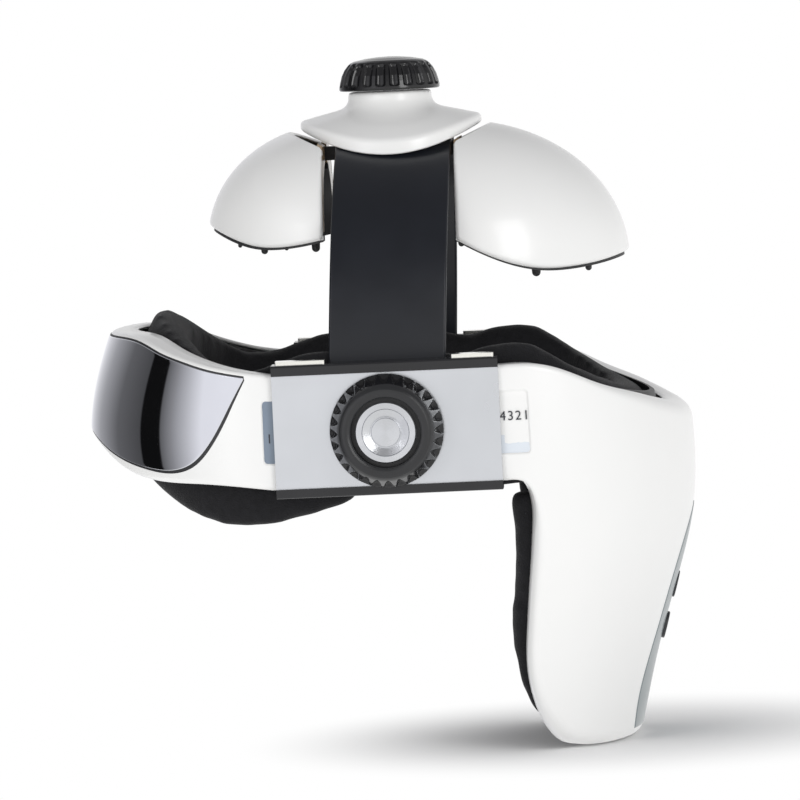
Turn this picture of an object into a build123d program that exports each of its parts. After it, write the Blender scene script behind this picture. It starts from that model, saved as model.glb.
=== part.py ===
from build123d import *
from math import cos, pi, radians, sin
import os

# Head, eye and neck massager headset, millimetres.
# +X is the wearer's left, -Y the way the wearer faces, +Z up.
# The origin is midway between the two side knobs, on their common axis.

os.makedirs("parts", exist_ok=True)

# ---- driving dimensions -----------------------------------------------------
plate_face = 103.0  # X of the side plate's outer face
plate_thick = 1.5
plate_half_length = 48.5
rail_top = 29.5
rail_bottom = -27.5
channel_top = 26.0
channel_bottom = -24.5
wall_back = 88.0  # X of the housing's back face
wall_front = 90.0
rail_proud = 1.2

wrap_half_width = 100.8  # outer X of both wrapped units
mask_centre = -50.0  # Y where the mask's curve starts
neck_centre = 50.0
shell_wall = 2.5
inside_half_width = 84.6  # outer X of the cushions

arch_half_width = 88.0
arch_height = 95.0
arch_base = 30.0
arch_thick = 2.8
arch_lean = 3.0
band_width = 50.4
band_offset = 0.85  # Y of the band's middle at the arch's base
band_foot = 54.0

crown_y = 4.0
neck_radius = 18.2
hub_top = 143.2
screw_radius = 3.0

gear_module = 1.0
pinion_teeth = 12
pitch_radius = gear_module * pinion_teeth / 2
shaft_radius = 3.0
gear_mid = 95.5  # X of the middle of the gear's face
gear_face = 4.0

reach = 130.0  # half length of a cutting prism across the object

# ---- the two wrapped units: sections (Z, half width, depth) and side outlines ----
mask_levels = [(-60, 100.8, 80), (-28, 100.8, 81.5), (-5, 100.8, 84.3), (22, 100.8, 80.7), (62, 100.8, 66)]
mask_lower = [(-50, -24.0), (-83, -20.5), (-104, -19), (-116, -15.5), (-127, -8), (-145, 8)]
mask_upper = [(-50, 25.7), (-67, 28.4), (-83, 32.5), (-97, 37.8), (-108, 42.6), (-122, 43.6), (-145, 43)]
neck_levels = [
    (45, 100.8, 74), (-15, 100.8, 81.3), (-45, 97.5, 79.5), (-90, 84, 66.6), (-118, 76.5, 58.5), (-150, 71, 51),
]
neck_lower = [
    (50, -24.0), (57.5, -25), (61.8, -33), (62, -45), (59.5, -67), (56.5, -92), (55.8, -108),
    (58.5, -121), (65.5, -134), (74, -141.5), (90, -144.5), (115, -144.8), (140, -144.8),
]
neck_upper = [(50, 25.7), (65.8, 25.2), (77, 22), (88, 17), (100, 12.5), (113, 8.5), (125, 4), (145, -2)]
mask_unit = {"levels": mask_levels, "centre": mask_centre, "keep": Keep.TOP, "arm_end": -22.0,
             "lower": mask_lower, "upper": mask_upper, "outward": -1}
neck_unit = {"levels": neck_levels, "centre": neck_centre, "keep": Keep.BOTTOM, "arm_end": 22.0,
             "lower": neck_lower, "upper": neck_upper, "outward": 1}


def wrap_core(unit, inset_x, inset_y, arm_end):
    """Half an elliptic column on the unit's own side, with a straight block back to arm_end."""
    with BuildPart() as core:
        for height, half_width, depth in unit["levels"]:
            with BuildSketch(Plane.XY.offset(height)):
                with Locations((0, unit["centre"])):
                    Ellipse(half_width - inset_x, depth - inset_y)
        loft()
        if arm_end is not None:
            split(bisect_by=Plane.XZ.offset(-unit["centre"]), keep=unit["keep"])
            with Locations((0, (unit["centre"] + arm_end) / 2, 0)):
                Box(2 * (wrap_half_width - inset_x), abs(unit["centre"] - arm_end), 120)
    return core.part


def side_prism(arm_end, lower, upper, margin=0.0, shift=0.0):
    """Prism across the object between a lower and an upper edge, both drawn in by margin."""
    low = [(y + shift, z + margin) for y, z in lower]
    high = [(y, z - margin) for y, z in upper]
    with BuildPart() as prism:
        with BuildSketch(Plane.YZ):
            with BuildLine():
                Spline(*low)
                Line(low[-1], high[-1])
                Spline(*reversed(high))
                if abs(arm_end - low[0][0]) > 0.01:
                    Polyline(high[0], (arm_end, high[0][1]), (arm_end, low[0][1]), low[0])
                else:
                    Line(high[0], low[0])
            make_face()
        extrude(amount=reach, both=True)
    return prism.part


def wrap(unit, outer, inner, margin=0.0):
    """Ring of a unit between two insets, each (across, along), trimmed to its side outline."""
    outside = wrap_core(unit, outer[0], outer[1], unit["arm_end"])
    inside = wrap_core(unit, inner[0], inner[1], unit["arm_end"])
    prism = side_prism(unit["arm_end"], unit["lower"], unit["upper"], margin, margin * max(unit["outward"], 0))
    with BuildPart() as ring:
        add(outside)
        add(inside, mode=Mode.SUBTRACT)
        add(prism, mode=Mode.INTERSECT)
    return ring.part


def cushion(unit, outer, inner, arm_end, lower, upper):
    """Soft ring inside a unit with a side outline of its own."""
    straight_end = arm_end if arm_end * unit["outward"] < unit["centre"] * unit["outward"] - 4 else None
    outside = wrap_core(unit, outer[0], outer[1], straight_end)
    inside = wrap_core(unit, inner[0], inner[1], straight_end)
    prism = side_prism(arm_end, lower, upper)
    with BuildPart() as ring:
        add(outside)
        add(inside, mode=Mode.SUBTRACT)
        add(prism, mode=Mode.INTERSECT)
    return ring.part


def mirrored(left_part, label):
    """The wearer's-right twin of a left-hand piece."""
    with BuildPart() as right_piece:
        add(left_part)
        mirror(about=Plane.YZ, mode=Mode.REPLACE)
    right_piece.part.label = label
    export_step(right_piece.part, f"parts/{label}.step")


def rectangle_between(x_low, x_high, y_low, y_high):
    with Locations(((x_low + x_high) / 2, (y_low + y_high) / 2)):
        Rectangle(x_high - x_low, y_high - y_low)


# ---- side housings ----------------------------------------------------------
post_heights = (19.5, -19.5)
post_radius = 3.0
thread_radius = 1.5
bush_radius = 4.5

with BuildPart() as side_housing_left:
    with BuildSketch(Plane.XZ):
        rectangle_between(wall_back, wall_front, rail_bottom, rail_top)
        rectangle_between(wall_back, plate_face + rail_proud, channel_top, rail_top)
        rectangle_between(wall_back, plate_face + rail_proud, rail_bottom, channel_bottom)
        rectangle_between(plate_face, plate_face + rail_proud, channel_top - 1, channel_top)
        rectangle_between(plate_face, plate_face + rail_proud, channel_bottom, channel_bottom + 1)
    extrude(amount=plate_half_length, both=True)
    outer_edges = edges().filter_by(Axis.Y).filter_by(
        lambda edge: edge.center().X > plate_face + 1 and abs(edge.center().Z - 1) > 26.5
    )
    fillet(outer_edges, radius=1.1)
    with BuildSketch(Plane.YZ.offset(wall_front)):
        with Locations(*[(0, height) for height in post_heights]):
            Circle(post_radius)
    extrude(amount=plate_face - plate_thick - wall_front)
    with BuildSketch(Plane.YZ.offset(wall_back)):
        with Locations(*[(0, height) for height in post_heights]):
            Circle(thread_radius)
    extrude(amount=9, mode=Mode.SUBTRACT)
    with BuildSketch(Plane.YZ.offset(wall_back)):
        Circle(bush_radius)
    extrude(amount=wall_front - wall_back, mode=Mode.SUBTRACT)
side_housing_left.part.label = "side_housing_left"
export_step(side_housing_left.part, "parts/side_housing_left.step")
mirrored(side_housing_left.part, "side_housing_right")

with BuildPart() as side_plate_left:
    with BuildSketch(Plane.YZ.offset(plate_face - plate_thick)):
        rectangle_between(-plate_half_length, plate_half_length, channel_bottom + 0.05, channel_top - 0.05)
        Circle(shaft_radius + 2, mode=Mode.SUBTRACT)
    extrude(amount=plate_thick)
side_plate_left.part.label = "side_plate_left"
export_step(side_plate_left.part, "parts/side_plate_left.step")
mirrored(side_plate_left.part, "side_plate_right")

# bright strips on the housing's top, either side of the band
strip_thick = 1.6
with BuildPart() as trim_strips:
    with BuildSketch(Plane.XY.offset(rail_top)):
        rectangle_between(wall_front + 1, plate_face - 1.5, -46.8, -25.4)
        rectangle_between(wall_front + 1, plate_face - 1.5, 28.6, 46.8)
    extrude(amount=strip_thick)
    fillet(edges().filter_by(Axis.Z), radius=0.8)
    mirror(about=Plane.YZ)
trim_strips.part.label = "trim_strips"
export_step(trim_strips.part, "parts/trim_strips.step")

with BuildPart() as shaft_bushes:
    with BuildSketch(Plane.YZ.offset(wall_back)):
        Circle(bush_radius)
        Circle(shaft_radius + 0.05, mode=Mode.SUBTRACT)
    extrude(amount=wall_front - wall_back)
    with BuildSketch(Plane.YZ.offset(wall_front)):
        Circle(bush_radius + 1)
        Circle(shaft_radius + 0.05, mode=Mode.SUBTRACT)
    extrude(amount=0.8)
    mirror(about=Plane.YZ)
shaft_bushes.part.label = "shaft_bushes"
export_step(shaft_bushes.part, "parts/shaft_bushes.step")

# ---- crown band: an arch leaning back a little, with a straight foot behind each housing ----
arch_plane = Plane(
    origin=(0, band_offset, arch_base),
    x_dir=(1, 0, 0),
    z_dir=(0, -cos(radians(arch_lean)), sin(radians(arch_lean))),
)
hub_screw_x = 20.0
hub_screw_low = 118.4

with BuildPart() as crown_band:
    with BuildSketch(arch_plane):
        Ellipse(arch_half_width, arch_height)
        Ellipse(arch_half_width - arch_thick, arch_height - arch_thick, mode=Mode.SUBTRACT)
        with Locations((0, -arch_height / 2)):
            Rectangle(3 * arch_half_width, arch_height, mode=Mode.SUBTRACT)
        for side in (-1, 1):
            with Locations((side * (arch_half_width - arch_thick / 2), -band_foot / 2)):
                Rectangle(arch_thick, band_foot)
    extrude(amount=band_width / 2, both=True)
    with BuildSketch(Plane.YZ):
        with Locations(*[(0, height) for height in post_heights]):
            Circle(thread_radius)
    extrude(amount=reach, both=True, mode=Mode.SUBTRACT)
    with BuildSketch(Plane.XY.offset(110)):
        with Locations((0, crown_y)):
            Circle(6)
        with Locations((-hub_screw_x, crown_y), (hub_screw_x, crown_y)):
            Circle(thread_radius)
    extrude(amount=30, mode=Mode.SUBTRACT)
crown_band.part.label = "crown_band"
export_step(crown_band.part, "parts/crown_band.step")

head_radius = 2.8
with BuildPart() as housing_screws:
    for side in (-1, 1):
        with BuildSketch(Plane.YZ.offset(side * (wall_back - arch_thick))):
            with Locations(*[(0, height) for height in post_heights]):
                Circle(head_radius)
        extrude(amount=-2.2 * side)
        with BuildSketch(Plane.YZ.offset(side * (wall_back - arch_thick))):
            with Locations(*[(0, height) for height in post_heights]):
                Circle(thread_radius)
        extrude(amount=11 * side)
    with BuildSketch(Plane.XY.offset(hub_screw_low)):
        with Locations((-hub_screw_x, crown_y), (hub_screw_x, crown_y)):
            Circle(thread_radius)
    extrude(amount=9)
    with BuildSketch(Plane.XY.offset(hub_screw_low)):
        with Locations((-hub_screw_x, crown_y), (hub_screw_x, crown_y)):
            Circle(head_radius)
    extrude(amount=-2.2)
housing_screws.part.label = "housing_screws"
export_step(housing_screws.part, "parts/housing_screws.step")

pad_inner = 76.0
with BuildPart() as temple_pad_left:
    with BuildSketch(Plane.YZ.offset(pad_inner)):
        with Locations((0, 3)):
            RectangleRounded(17, 48, 6)
    extrude(amount=wall_back - arch_thick - pad_inner)
    fillet(faces().sort_by(Axis.X)[0].edges(), radius=3)
    with BuildSketch(Plane.YZ.offset(wall_back - arch_thick - 2.4)):
        with Locations(*[(0, height) for height in post_heights]):
            Circle(head_radius + 0.3)
    extrude(amount=2.4, mode=Mode.SUBTRACT)
temple_pad_left.part.label = "temple_pad_left"
export_step(temple_pad_left.part, "parts/temple_pad_left.step")
mirrored(temple_pad_left.part, "temple_pad_right")

# ---- side knobs: scalloped knob, turned insert, pinion on its shaft ---------
knob_radius = 24.5
knob_scallops = 28
recess_radius = 14.8
recess_floor = 12.0
knob_profile = [
    (1.6, shaft_radius), (1.6, 23.6), (2.3, 24.3), (4.2, knob_radius), (9.0, 22.9), (14.2, 20.9), (16.4, 19.8),
    (17.4, 18.8), (17.6, 17.8), (17.6, 16.0), (16.8, recess_radius), (recess_floor, recess_radius),
    (recess_floor, shaft_radius),
]
gouge_length = 13.5
gouge_lean = 19.0  # degrees that a scallop follows the flank inwards

with BuildPart() as side_knob_left:
    with BuildSketch(Plane.XZ):
        with BuildLine():
            Polyline(*[(plate_face + x, r) for x, r in knob_profile], close=True)
        make_face()
    revolve(axis=Axis.X)
    gouge_planes = []
    for step in range(knob_scallops):
        angle = 2 * pi * step / knob_scallops
        out = Vector(0, cos(angle), sin(angle))
        lean = radians(gouge_lean)
        direction = Vector(cos(lean), 0, 0) - out * sin(lean)
        gouge_planes.append(Plane(origin=Vector(plate_face + 3.2, 0, 0) + out * 25.3, z_dir=direction))
    with Locations(*gouge_planes):
        Cone(2.3, 0.5, gouge_length, align=(Align.CENTER, Align.CENTER, Align.MIN), mode=Mode.SUBTRACT)
side_knob_left.part.label = "side_knob_left"
export_step(side_knob_left.part, "parts/side_knob_left.step")
mirrored(side_knob_left.part, "side_knob_right")

insert_radius = 13.1
insert_profile = [
    (recess_floor, 0), (recess_floor, insert_radius), (15.8, insert_radius), (16.3, insert_radius - 0.5),
    (16.3, 10.2), (15.7, 9.9), (14.2, 6.6), (14.2, 6.3), (14.9, 6.0), (14.9, 0),
]
with BuildPart() as knob_insert_left:
    with BuildSketch(Plane.XZ):
        with BuildLine():
            Polyline(*[(plate_face + x, r) for x, r in insert_profile], close=True)
        make_face()
    revolve(axis=Axis.X)
knob_insert_left.part.label = "knob_insert_left"
export_step(knob_insert_left.part, "parts/knob_insert_left.step")
mirrored(knob_insert_left.part, "knob_insert_right")

tooth_top = 0.85 * gear_module
tooth_root = 1.05 * gear_module
pitch = pi * gear_module

with BuildPart() as drive_pinion_left:
    with BuildSketch(Plane.YZ.offset(wall_back + 0.3)):
        Circle(shaft_radius)
    extrude(amount=plate_face + recess_floor - wall_back - 0.3)
    with BuildSketch(Plane.YZ.offset(gear_mid - gear_face / 2)):
        Circle(pitch_radius - tooth_root)
        with PolarLocations(0, pinion_teeth):
            with BuildLine():
                Polyline(
                    (pitch_radius - tooth_root - 0.4, -0.85), (pitch_radius, -0.55),
                    (pitch_radius + tooth_top, -0.22), (pitch_radius + tooth_top, 0.22),
                    (pitch_radius, 0.55), (pitch_radius - tooth_root - 0.4, 0.85), close=True,
                )
            make_face()
    extrude(amount=gear_face)
drive_pinion_left.part.label = "drive_pinion_left"
export_step(drive_pinion_left.part, "parts/drive_pinion_left.step")
mirrored(drive_pinion_left.part, "drive_pinion_right")

rack_back = 11.0
rack_start = -40.0
rack_stop = 15.0


def rack(label, end_sign):
    """Toothed bar above the pinion (end_sign 1) or, turned half round the shaft, below it (-1)."""
    with BuildPart() as bar:
        with BuildSketch(Plane.YZ.offset(gear_mid - gear_face / 2 - 0.5)):
            with BuildLine():
                Polyline(
                    (end_sign * rack_start, end_sign * (pitch_radius + tooth_root)),
                    (end_sign * rack_stop, end_sign * (pitch_radius + tooth_root)),
                    (end_sign * rack_stop, end_sign * rack_back),
                    (end_sign * rack_start, end_sign * rack_back), close=True,
                )
            make_face()
            with Locations(*[(end_sign * (step + 0.5) * pitch, 0) for step in range(-5, 4)]):
                with BuildLine():
                    Polyline(
                        (-0.9, end_sign * (pitch_radius + tooth_root)), (-0.25, end_sign * (pitch_radius - 0.7)),
                        (0.25, end_sign * (pitch_radius - 0.7)), (0.9, end_sign * (pitch_radius + tooth_root)),
                        close=True,
                    )
                make_face()
        extrude(amount=gear_face + 1)
    bar.part.label = label
    export_step(bar.part, f"parts/{label}.step")
    return bar.part


mask_rack_left = rack("mask_rack_left", 1)
mirrored(mask_rack_left, "mask_rack_right")
neck_rack_left = rack("neck_rack_left", -1)
mirrored(neck_rack_left, "neck_rack_right")

# ---- crown hub ---------------------------------------------------------------
saddle_thick = 6.2
saddle_radius = 40.0
hub_outline = [(-35.2, 135), (-35.6, 127.6), (-19.8, 120.4), (-19.8, 105), (29.6, 105), (29.6, 121.6),
               (42.4, 127.8), (42.2, 135)]
with BuildPart() as saddle:
    with BuildSketch(arch_plane):
        Ellipse(arch_half_width + saddle_thick, arch_height + saddle_thick)
        Ellipse(arch_half_width + 0.2, arch_height + 0.2, mode=Mode.SUBTRACT)
        with Locations((0, -arch_height / 2)):
            Rectangle(3 * arch_half_width, arch_height, mode=Mode.SUBTRACT)
    extrude(amount=60, both=True)
    with BuildSketch(Plane.YZ):
        with BuildLine():
            Polyline(*hub_outline, close=True)
        make_face()
    extrude(amount=reach, both=True, mode=Mode.INTERSECT)
    with BuildSketch(Plane.XY.offset(90)):
        with Locations((0, crown_y)):
            Circle(saddle_radius)
    extrude(amount=60, mode=Mode.INTERSECT)

with BuildPart() as hub_shell:
    add(saddle.part)
    with BuildSketch(Plane.YZ):
        with BuildLine():
            Polyline((crown_y, 127), (crown_y, hub_top), (crown_y + neck_radius, hub_top))
            Spline(
                (crown_y + neck_radius, hub_top), (crown_y + neck_radius + 0.5, 138.5), (crown_y + 22, 134.8),
                (crown_y + 30, 131.2),
            )
            Polyline((crown_y + 30, 131.2), (crown_y + 30, 127), (crown_y, 127))
        make_face()
    revolve(axis=Axis((0, crown_y, 0), (0, 0, 1)))
    with BuildSketch(Plane.XY.offset(115)):
        with Locations((0, crown_y)):
            Circle(12)
    extrude(amount=25.5, mode=Mode.SUBTRACT)
    with BuildSketch(Plane.XY.offset(115)):
        with Locations((0, crown_y)):
            Circle(screw_radius + 0.05)
    extrude(amount=30, mode=Mode.SUBTRACT)
    with BuildSketch(Plane.XY.offset(hub_screw_low)):
        with Locations((-hub_screw_x, crown_y), (hub_screw_x, crown_y)):
            Circle(thread_radius)
    extrude(amount=9, mode=Mode.SUBTRACT)
hub_shell.part.label = "hub_shell"
export_step(hub_shell.part, "parts/hub_shell.step")

crown_flutes = 30
crown_profile = [(screw_radius, 143.7), (21.6, 143.7), (22.2, 144.2), (21.9, 147.2), (20.6, 151.2), (18.4, 154.6),
                 (16.6, 156.3), (10.0, 157.8), (screw_radius, 158.3)]
with BuildPart() as crown_knob:
    with BuildSketch(Plane.YZ):
        with BuildLine():
            Polyline(*[(crown_y + r, z) for r, z in crown_profile], close=True)
        make_face()
    revolve(axis=Axis((0, crown_y, 0), (0, 0, 1)))
    flute_planes = []
    for step in range(crown_flutes):
        angle = 2 * pi * step / crown_flutes
        out = Vector(cos(angle), sin(angle), 0)
        lean = radians(22)
        flute_planes.append(Plane(
            origin=Vector(0, crown_y, 145.6) + out * 23.0,
            z_dir=Vector(0, 0, cos(lean)) - out * sin(lean),
        ))
    with Locations(*flute_planes):
        Cylinder(1.25, 12.5, align=(Align.CENTER, Align.CENTER, Align.MIN), mode=Mode.SUBTRACT)
crown_knob.part.label = "crown_knob"
export_step(crown_knob.part, "parts/crown_knob.step")

with BuildPart() as lead_screw:
    with BuildSketch(Plane.XY.offset(106)):
        with Locations((0, crown_y)):
            Circle(screw_radius)
    extrude(amount=52)
lead_screw.part.label = "lead_screw"
export_step(lead_screw.part, "parts/lead_screw.step")

# ---- carriage under the band, with a hinge end for each lobe ----------------
beam_low = 114.0
beam_high = 119.8
beam_half_width = 9.0
front_pivot = (-31.0, 116.9)
rear_pivot = (38.5, 116.9)
pin_radius = 1.5

with BuildPart() as lobe_carriage:
    with BuildSketch(Plane.YZ):
        rectangle_between(front_pivot[0], rear_pivot[0], beam_low, beam_high)
        with Locations(front_pivot, rear_pivot):
            Circle((beam_high - beam_low) / 2)
        with Locations(front_pivot, rear_pivot):
            Circle(pin_radius + 0.05, mode=Mode.SUBTRACT)
    extrude(amount=beam_half_width, both=True)
    with BuildSketch(Plane.XY.offset(beam_low - 1)):
        with Locations((0, crown_y)):
            Circle(screw_radius + 0.05)
    extrude(amount=10, mode=Mode.SUBTRACT)
lobe_carriage.part.label = "lobe_carriage"
export_step(lobe_carriage.part, "parts/lobe_carriage.step")

# ---- scalp lobes: dome, inner wall, finger pad, motor -----------------------
lobe_wall = 2.2
pad_depth = 16.0
pad_thick = 2.5
ear_inner = 9.3
ear_outer = 12.3

front_lobe = {
    "name": "front_lobe", "centre": (0, -22, 80), "axes": (62, 57, 50), "pivot": front_pivot, "out": -1,
    "inner_edge": [(-25.5, 81), (-25.5, 120.8), (-41, 128), (-41, 145), (-95, 145)],
    "rim": [(-95, 99), (-79, 88), (-72, 84.6), (-57, 79.0), (-44, 78.3), (-25.5, 81)],
    "motor": (0, -52, 112.5), "azimuths": (-60, -30, 0, 30, 60), "tilts": (14, 36, 58),
}
rear_lobe = {
    "name": "rear_lobe", "centre": (0, 30, 66), "axes": (62, 76.5, 63), "pivot": rear_pivot, "out": 1,
    "inner_edge": [(32, 78.6), (32, 120.8), (47, 127.8), (47, 145), (120, 145)],
    "rim": [(120, 73), (97, 65.8), (84, 64.0), (68, 64.1), (55, 67.3), (42, 73), (32, 78.6)],
    "motor": (0, 66, 112.5), "azimuths": (-60, -36, -12, 12, 36, 60), "tilts": (14, 36, 58),
}


def ellipsoid(lobe, inset):
    grown = [axis - inset for axis in lobe["axes"]]
    return scale(Sphere(1), by=tuple(grown)).moved(Location(lobe["centre"]))


def lobe_prism(lobe, lift=0.0, cap=None):
    """Side outline of a lobe as a prism; lift raises the rim, cap keeps only that much above the rim."""
    with BuildPart() as prism:
        with BuildSketch(Plane.YZ):
            rim = [(y, z + lift) for y, z in lobe["rim"]]
            with BuildLine():
                Spline(*rim)
                if cap is None:
                    Polyline(rim[-1], *lobe["inner_edge"][1:], rim[0])
                else:
                    Line(rim[-1], (rim[-1][0], rim[-1][1] + cap))
                    Spline(*[(y, z + cap) for y, z in reversed(rim)])
                    Line((rim[0][0], rim[0][1] + cap), rim[0])
            make_face()
        extrude(amount=reach, both=True)
    return prism.part


def build_lobe(lobe):
    name = lobe["name"]
    pivot_y, pivot_z = lobe["pivot"]
    edge_y = lobe["inner_edge"][0][0]
    outline = lobe_prism(lobe)
    dome = ellipsoid(lobe, 0)
    dome_inside = ellipsoid(lobe, lobe_wall)
    with BuildPart() as shell:
        add(dome)
        add(dome_inside, mode=Mode.SUBTRACT)
        add(outline, mode=Mode.INTERSECT)
    shell.part.label = f"{name}_shell"
    export_step(shell.part, f"parts/{name}_shell.step")

    wall_outside = ellipsoid(lobe, lobe_wall + 0.1)
    wall_inside = ellipsoid(lobe, pad_depth - 0.2)
    raised = lobe_prism(lobe, lift=3.0)
    with BuildPart() as carrier:
        with BuildSketch(Plane.XZ.offset(-edge_y)):
            with Locations((0, 100)):
                Rectangle(150, 80)
        extrude(amount=-2.2 * lobe["out"])
        add(wall_outside, mode=Mode.INTERSECT)
        add(wall_inside, mode=Mode.SUBTRACT)
        add(raised, mode=Mode.INTERSECT)
        for side in (-1, 1):
            with BuildSketch(Plane.YZ.offset(side * ear_inner)):
                rectangle_between(*sorted((edge_y, pivot_y)), pivot_z - 3, pivot_z + 3)
                with Locations((pivot_y, pivot_z)):
                    Circle(3)
            extrude(amount=side * (ear_outer - ear_inner))
        with BuildSketch(Plane.YZ):
            rectangle_between(*sorted((edge_y - 4 * lobe["out"], edge_y + 5 * lobe["out"])), 108, 122.2)
        extrude(amount=ear_inner, both=True, mode=Mode.SUBTRACT)
        with BuildSketch(Plane.YZ):
            with Locations((pivot_y, pivot_z)):
                Circle(pin_radius)
        extrude(amount=ear_outer + 1, both=True, mode=Mode.SUBTRACT)
    carrier.part.label = f"{name}_carrier"
    export_step(carrier.part, f"parts/{name}_carrier.step")

    with BuildPart() as pin:
        with BuildSketch(Plane.YZ.offset(-ear_outer)):
            with Locations((pivot_y, pivot_z)):
                Circle(pin_radius)
        extrude(amount=2 * ear_outer)
    pin.part.label = f"{name}_pin"
    export_step(pin.part, f"parts/{name}_pin.step")

    pad_outside = ellipsoid(lobe, pad_depth)
    pad_inside = ellipsoid(lobe, pad_depth + pad_thick)
    rim_slab = lobe_prism(lobe, lift=-1.0, cap=2.6)
    with BuildPart() as rim_ring:
        add(wall_outside)
        add(pad_inside, mode=Mode.SUBTRACT)
        add(rim_slab, mode=Mode.INTERSECT)
    with BuildPart() as finger_pad:
        add(pad_outside)
        add(pad_inside, mode=Mode.SUBTRACT)
        add(outline, mode=Mode.INTERSECT)
        add(rim_ring.part)
        centre = Vector(*lobe["centre"])
        inner = [axis - pad_depth - pad_thick + 0.6 for axis in lobe["axes"]]
        finger_planes = []
        for tilt in lobe["tilts"]:
            for azimuth in lobe["azimuths"]:
                a = radians(azimuth)
                t = radians(tilt)
                spot = Vector(inner[0] * cos(t) * sin(a), lobe["out"] * inner[1] * cos(t) * cos(a), inner[2] * sin(t))
                if abs(centre.Y + spot.Y) > abs(edge_y) + 4 and spot.Z > 14:
                    finger_planes.append(Plane(origin=centre + spot, z_dir=-spot.normalized()))
        with Locations(*finger_planes):
            Cone(2.0, 1.4, 7.0, align=(Align.CENTER, Align.CENTER, Align.MIN))
        with BuildSketch(Plane.YZ):
            rectangle_between(*sorted((edge_y - 6 * lobe["out"], pivot_y + 5 * lobe["out"])), 108, 126)
        extrude(amount=ear_outer + 1, both=True, mode=Mode.SUBTRACT)
    finger_pad.part.label = f"{name}_finger_pad"
    export_step(finger_pad.part, f"parts/{name}_finger_pad.step")

    motor_x, motor_y, motor_z = lobe["motor"]
    with BuildPart() as motor:
        with BuildSketch(Plane.YZ.offset(-9)):
            with Locations((motor_y, motor_z)):
                Circle(5)
        extrude(amount=15)
        with BuildSketch(Plane.YZ.offset(6)):
            with Locations((motor_y, motor_z)):
                Circle(1.6)
        extrude(amount=1)
        with BuildSketch(Plane.YZ.offset(1)):
            with Locations((motor_y, motor_z)):
                Circle(0.85)
        extrude(amount=6, mode=Mode.SUBTRACT)
    motor.part.label = f"{name}_motor"
    export_step(motor.part, f"parts/{name}_motor.step")

    with BuildPart() as weight:
        with BuildSketch(Plane.YZ.offset(1.2)):
            with Locations((motor_y, motor_z)):
                Circle(0.8)
        extrude(amount=10)
        with BuildSketch(Plane.YZ.offset(7.6)):
            with Locations((motor_y, motor_z)):
                Circle(4.2)
            with Locations((motor_y, motor_z + 3.5)):
                Rectangle(10, 5, mode=Mode.SUBTRACT)
        extrude(amount=3.6)
    weight.part.label = f"{name}_weight"
    export_step(weight.part, f"parts/{name}_weight.step")


build_lobe(front_lobe)
build_lobe(rear_lobe)

# ---- mask ---------------------------------------------------------------------
frame_outer = 8.5
frame_inner = 10.5
recess_depth = 1.6
tray_edge = 0.9
visor_lower = [(-60.5, 24.4), (-66.9, 13.3), (-71.8, 4.6), (-78.3, -5.1), (-84.9, -11.4), (-91, -13.9),
               (-103.7, -13.6), (-112, -11.5), (-123, -6.5), (-132, 0), (-145, 9)]
visor_upper = [(-60.5, 24.9), (-78, 28.6), (-88, 31.9), (-97.6, 35.6), (-108, 40.4), (-120, 41.6), (-145, 41)]

mask_outer_ring = wrap(mask_unit, (0, 0), (frame_inner, frame_inner))
mask_hollow = wrap(mask_unit, (shell_wall, shell_wall), (frame_inner + 1, frame_inner + 1), 2.0)
visor_prism = side_prism(-60.5, visor_lower, visor_upper)
tray_prism = side_prism(
    -59.6, [(y + tray_edge, z - tray_edge) for y, z in visor_lower],
    [(y + tray_edge, z + tray_edge) for y, z in visor_upper],
)
recess_core = wrap_core(mask_unit, recess_depth, recess_depth, None)
flush_core = wrap_core(mask_unit, 0.1, 0.1, None)
visor_core = wrap_core(mask_unit, -0.35, -0.35, None)
visor_back_core = wrap_core(mask_unit, 0.8, 0.8, None)
front_half = Box(260, 120, 200).moved(Location((0, mask_centre - 60, 0)))

scale_low = -12.8
scale_high = 14.8
scale_start = 26.0
mask_scale_end = 53.6
neck_scale_end = 61.2
scale_corner = 2.0
scale_depth = 0.9
boss_spots = [(-40, 17), (-40, -17)]


def scale_pocket(outward, reach_end):
    """Cutter for a unit's scale pockets, from under the side plate out to reach_end."""
    with BuildPart() as pocket:
        with BuildSketch(Plane.YZ):
            with Locations((outward * (reach_end + scale_start) / 2, (scale_low + scale_high) / 2)):
                RectangleRounded(reach_end - scale_start, scale_high - scale_low, scale_corner)
        extrude(amount=reach, both=True)
    return pocket.part


mask_pocket = scale_pocket(-1, mask_scale_end)
pocket_core = wrap_core(mask_unit, scale_depth, scale_depth, mask_unit["arm_end"])
strip_core = wrap_core(mask_unit, scale_depth - 0.3, scale_depth - 0.3, mask_unit["arm_end"])

with BuildPart() as visor_recess:
    add(front_half)
    add(recess_core, mode=Mode.SUBTRACT)
    add(tray_prism, mode=Mode.INTERSECT)

with BuildPart() as mask_pocket_cut:
    add(mask_pocket)
    add(pocket_core, mode=Mode.SUBTRACT)

with BuildPart() as mask_shell:
    add(mask_outer_ring)
    add(mask_hollow, mode=Mode.SUBTRACT)
    add(visor_recess.part, mode=Mode.SUBTRACT)
    add(mask_pocket_cut.part, mode=Mode.SUBTRACT)
    for side in (-1, 1):
        with BuildSketch(Plane.YZ.offset(side * (wrap_half_width - frame_inner + 2))):
            with Locations(*boss_spots):
                Circle(2.5)
        extrude(amount=side * (frame_outer - shell_wall + 0.2))
        with BuildSketch(Plane.YZ.offset(side * (wrap_half_width - frame_inner))):
            with Locations(*boss_spots):
                Circle(1.0)
        extrude(amount=side * 6, mode=Mode.SUBTRACT)
mask_shell.part.label = "mask_shell"
export_step(mask_shell.part, "parts/mask_shell.step")

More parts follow.
